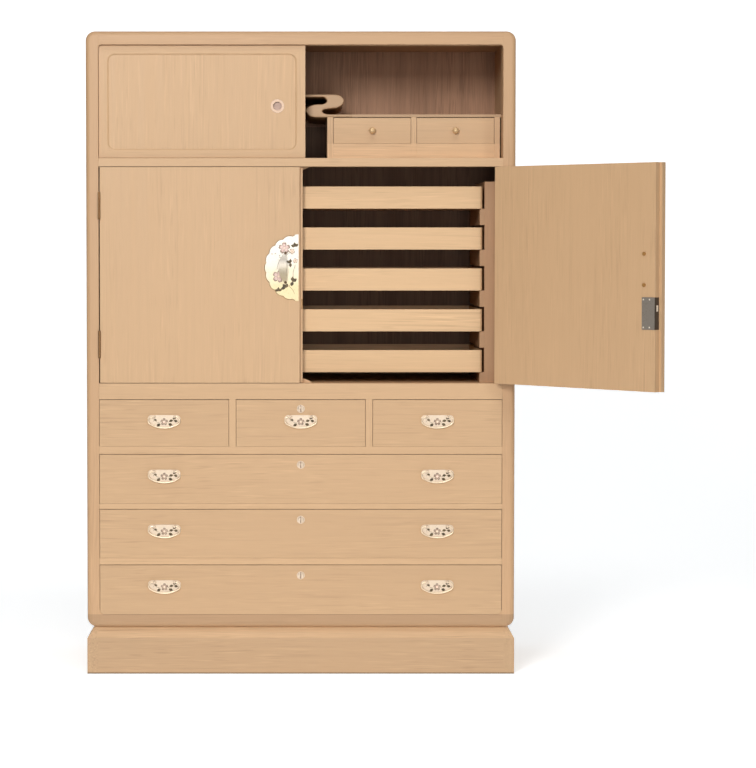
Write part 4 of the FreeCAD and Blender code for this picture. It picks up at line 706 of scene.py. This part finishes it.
def add_lock_screws():
    """Four small screws in the corners of the door lock's plate, on the door's inner face"""
    low, high = shut_box("door_lock")
    middle = ((low[0] + high[0]) / 2, high[1], (low[2] + high[2]) / 2)
    screws = Sprig()
    for x in (low[0] + SCREW_INSETS[0], high[0] - SCREW_INSETS[1]):
        for z in (low[2] + SCREW_INSETS[2], high[2] - SCREW_INSETS[2]):
            screws.dot("hearts", (x - middle[0], z - middle[2]), 2.4 * MM, 0.8 * MM)
    screws.set_on("lock_screws", "right_door", middle, {"hearts": nodes["lock_bolt"].data.materials[0]},
                  turned=True, outward=-1, slot="lock_steel")


add_lock_screws()


# The scroll between the staggered shelves: its outline as shares of its width over the lobes and of its
# height, first along its upper side from left to right, then back along its lower side

SCROLL_WIDE = 0.105
SCROLL_STUB = 0.022
SCROLL_ROUND = 0.0022
SHELF_THICK = 0.0062
LEDGE_THICK = 0.0077


def scroll_outline(low, high):
    tall = high[2] - low[2]
    shelf = 1 - SHELF_THICK / tall
    ledge = LEDGE_THICK / tall
    left = -SCROLL_STUB / SCROLL_WIDE
    right = (high[0] - low[0]) / SCROLL_WIDE + left
    over = [(left, 1), (0.1, 1), (0.5, 1), (0.72, 1), (0.84, 0.98), (0.94, 0.90), (1.0, 0.735), (0.955, 0.56),
            (0.84, 0.44), (0.68, 0.40), (0.54, 0.375), (0.455, 0.325), (0.43, 0.25), (0.475, 0.17),
            (0.58, ledge), (0.75, ledge), (1.0, ledge), (right, ledge)]
    under = [(right, 0), (0.9, 0), (0.6, 0), (0.36, 0), (0.20, 0.015), (0.07, 0.10), (0, 0.285),
             (0.065, 0.45), (0.20, 0.54), (0.34, 0.56), (0.45, 0.575), (0.53, 0.64), (0.556, 0.735),
             (0.53, 0.83), (0.45, shelf), (0.3, shelf), (0.1, shelf), (left, shelf)]
    points = smooth(over) + smooth(under)
    start = low[0] + SCROLL_STUB
    return [(start + u * SCROLL_WIDE, low[2] + v * tall) for u, v in points]


def make_scroll():
    """An S of bent wood whose front edges are rounded over"""
    low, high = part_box("scroll_bracket")
    outline = scroll_outline(low, high)
    count = len(outline)
    inward = []
    for i, (x, z) in enumerate(outline):
        before = outline[i - 1]
        after = outline[(i + 1) % count]
        along = Vector((after[0] - before[0], after[1] - before[1])).normalized()
        inward.append((along.y, -along.x))
    made = bmesh.new()
    rings = []
    radius = SCROLL_ROUND
    ends = (low[0] + MM, high[0] - MM)
    for angle in (90, 60, 30, 0):
        inset = radius * (1 - math.cos(math.radians(angle)))
        y = low[1] + radius * (1 - math.sin(math.radians(angle)))
        ring = []
        for (x, z), (across, up) in zip(outline, inward):
            sideways = inset if ends[0] < x < ends[1] else 0
            ring.append(made.verts.new((x + across * sideways, y, z + up * inset)))
        rings.append(ring)
    rings.append([made.verts.new((x, high[1], z)) for x, z in outline])
    for first, second in zip(rings, rings[1:]):
        for i in range(count):
            after = (i + 1) % count
            made.faces.new((first[i], first[after], second[after], second[i]))
    made.faces.new(rings[0])
    made.faces.new(rings[-1][::-1])
    bmesh.ops.recalc_face_normals(made, faces=made.faces)
    for face in made.faces:
        face.smooth = len(face.verts) == 4
    mesh = bpy.data.meshes.new("scroll")
    made.to_mesh(mesh)
    made.free()
    piece = link("scroll", mesh, nodes["scroll_bracket"].data.materials[0], "case")
    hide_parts("scroll_bracket")


make_scroll()


# Floor, light and camera. The floor is darker in front of where the picture begins, so that it throws
# less light up at the chest.

FLOOR_HALF = 12
FLOOR_FRONT = (-9, -4)
FLOOR_FADE = (-2.0, -1.45)
FLOOR_GLOW = 0.52
SWEEP_START = 2.5
SWEEP_BEND = 3.0


def make_floor():
    """A pale sweep: flat under the chest, rising far behind it to just over the picture's top"""
    mesh = bpy.data.meshes.new("floor")
    made = bmesh.new()
    profile = [(y, 0) for y in (*FLOOR_FRONT, SWEEP_START)]
    for degrees in range(6, 91, 6):
        angle = math.radians(degrees)
        profile.append((SWEEP_START + SWEEP_BEND * math.sin(angle), SWEEP_BEND * (1 - math.cos(angle))))
    rows = [[made.verts.new((x, y, z)) for x in (-FLOOR_HALF, FLOOR_HALF)] for y, z in profile]
    for first, second in zip(rows, rows[1:]):
        made.faces.new((first[0], first[1], second[1], second[0]))
    made.to_mesh(mesh)
    made.free()
    for face in mesh.polygons:
        face.use_smooth = True
    floor = bpy.data.objects.new("floor", mesh)
    bpy.context.scene.collection.objects.link(floor)
    shader = Shader("floor_paint")
    x, y, z = shader.place()
    cloud = shader.noise(shader.vector(x, y, z), 2.0)
    seen = shader.between(y, *FLOOR_FADE)
    paint = shader.tint(cloud, (0.94, 0.94, 0.94, 1), (0.97, 0.97, 0.97, 1))
    shader.surface.inputs["Emission Color"].default_value = (0.96, 0.985, 1, 1)
    shader.put(shader.surface.inputs["Emission Strength"], shader.math("MULTIPLY", seen, FLOOR_GLOW))
    mesh.materials.append(shader.finish(shader.tint(seen, (0.3, 0.3, 0.3, 1), paint), 0.8))


def area_light(name, place, target, size, power):
    lamp = bpy.data.lights.new(name, "AREA")
    lamp.shape = "RECTANGLE"
    lamp.size, lamp.size_y = size
    lamp.energy = power
    light = bpy.data.objects.new(name, lamp)
    light.location = place
    light.rotation_euler = (Vector(target) - Vector(place)).to_track_quat("-Z", "Y").to_euler()
    light.visible_camera = False
    bpy.context.scene.collection.objects.link(light)


make_floor()
CHEST = (0, 0, 0.9)
area_light("key", (-1.3, -5.3, 2.8), CHEST, (1.2, 1.2), 158)
area_light("fill", (0.3, -7.0, 1.3), CHEST, (1.6, 1.6), 67)
area_light("over", (0.2, -2.2, 5.0), (0, -0.25, 0.3), (2.4, 1.2), 54)
area_light("side", (3.6, -4.8, 2.6), CHEST, (1.2, 1.2), 48)
area_light("backdrop", (0, 1.6, 5.6), (0, 5.4, 2.4), (9.0, 2.0), 125)

world = bpy.data.worlds.new("studio")
world.use_nodes = True
background = world.node_tree.nodes["Background"]
background.inputs["Color"].default_value = (1, 1, 1, 1)
background.inputs["Strength"].default_value = 0.02
bpy.context.scene.world = world
bpy.context.scene.view_settings.view_transform = "Standard"

# The camera was fitted to the chest's corners in the photograph
LONG_SIDE = 768
FOCAL = 2391.14
MIDDLE = (300.77, 333.85)
FRAME_MIDDLE = (378, 384)
CAMERA_AWAY = 6.5711
CAMERA_HIGH = 1.1962
CAMERA_DOWN = 0.0389
lens = bpy.data.cameras.new("camera")
lens.sensor_width = 36
lens.lens = FOCAL * lens.sensor_width / LONG_SIDE
lens.shift_x = (FRAME_MIDDLE[0] - MIDDLE[0]) / LONG_SIDE
lens.shift_y = (MIDDLE[1] - FRAME_MIDDLE[1]) / LONG_SIDE
camera = bpy.data.objects.new("camera", lens)
camera.location = (0, FRONT - CAMERA_AWAY, CAMERA_HIGH)
camera.rotation_euler = (math.pi / 2 - CAMERA_DOWN, 0, 0)
bpy.context.scene.collection.objects.link(camera)
bpy.context.scene.camera = camera
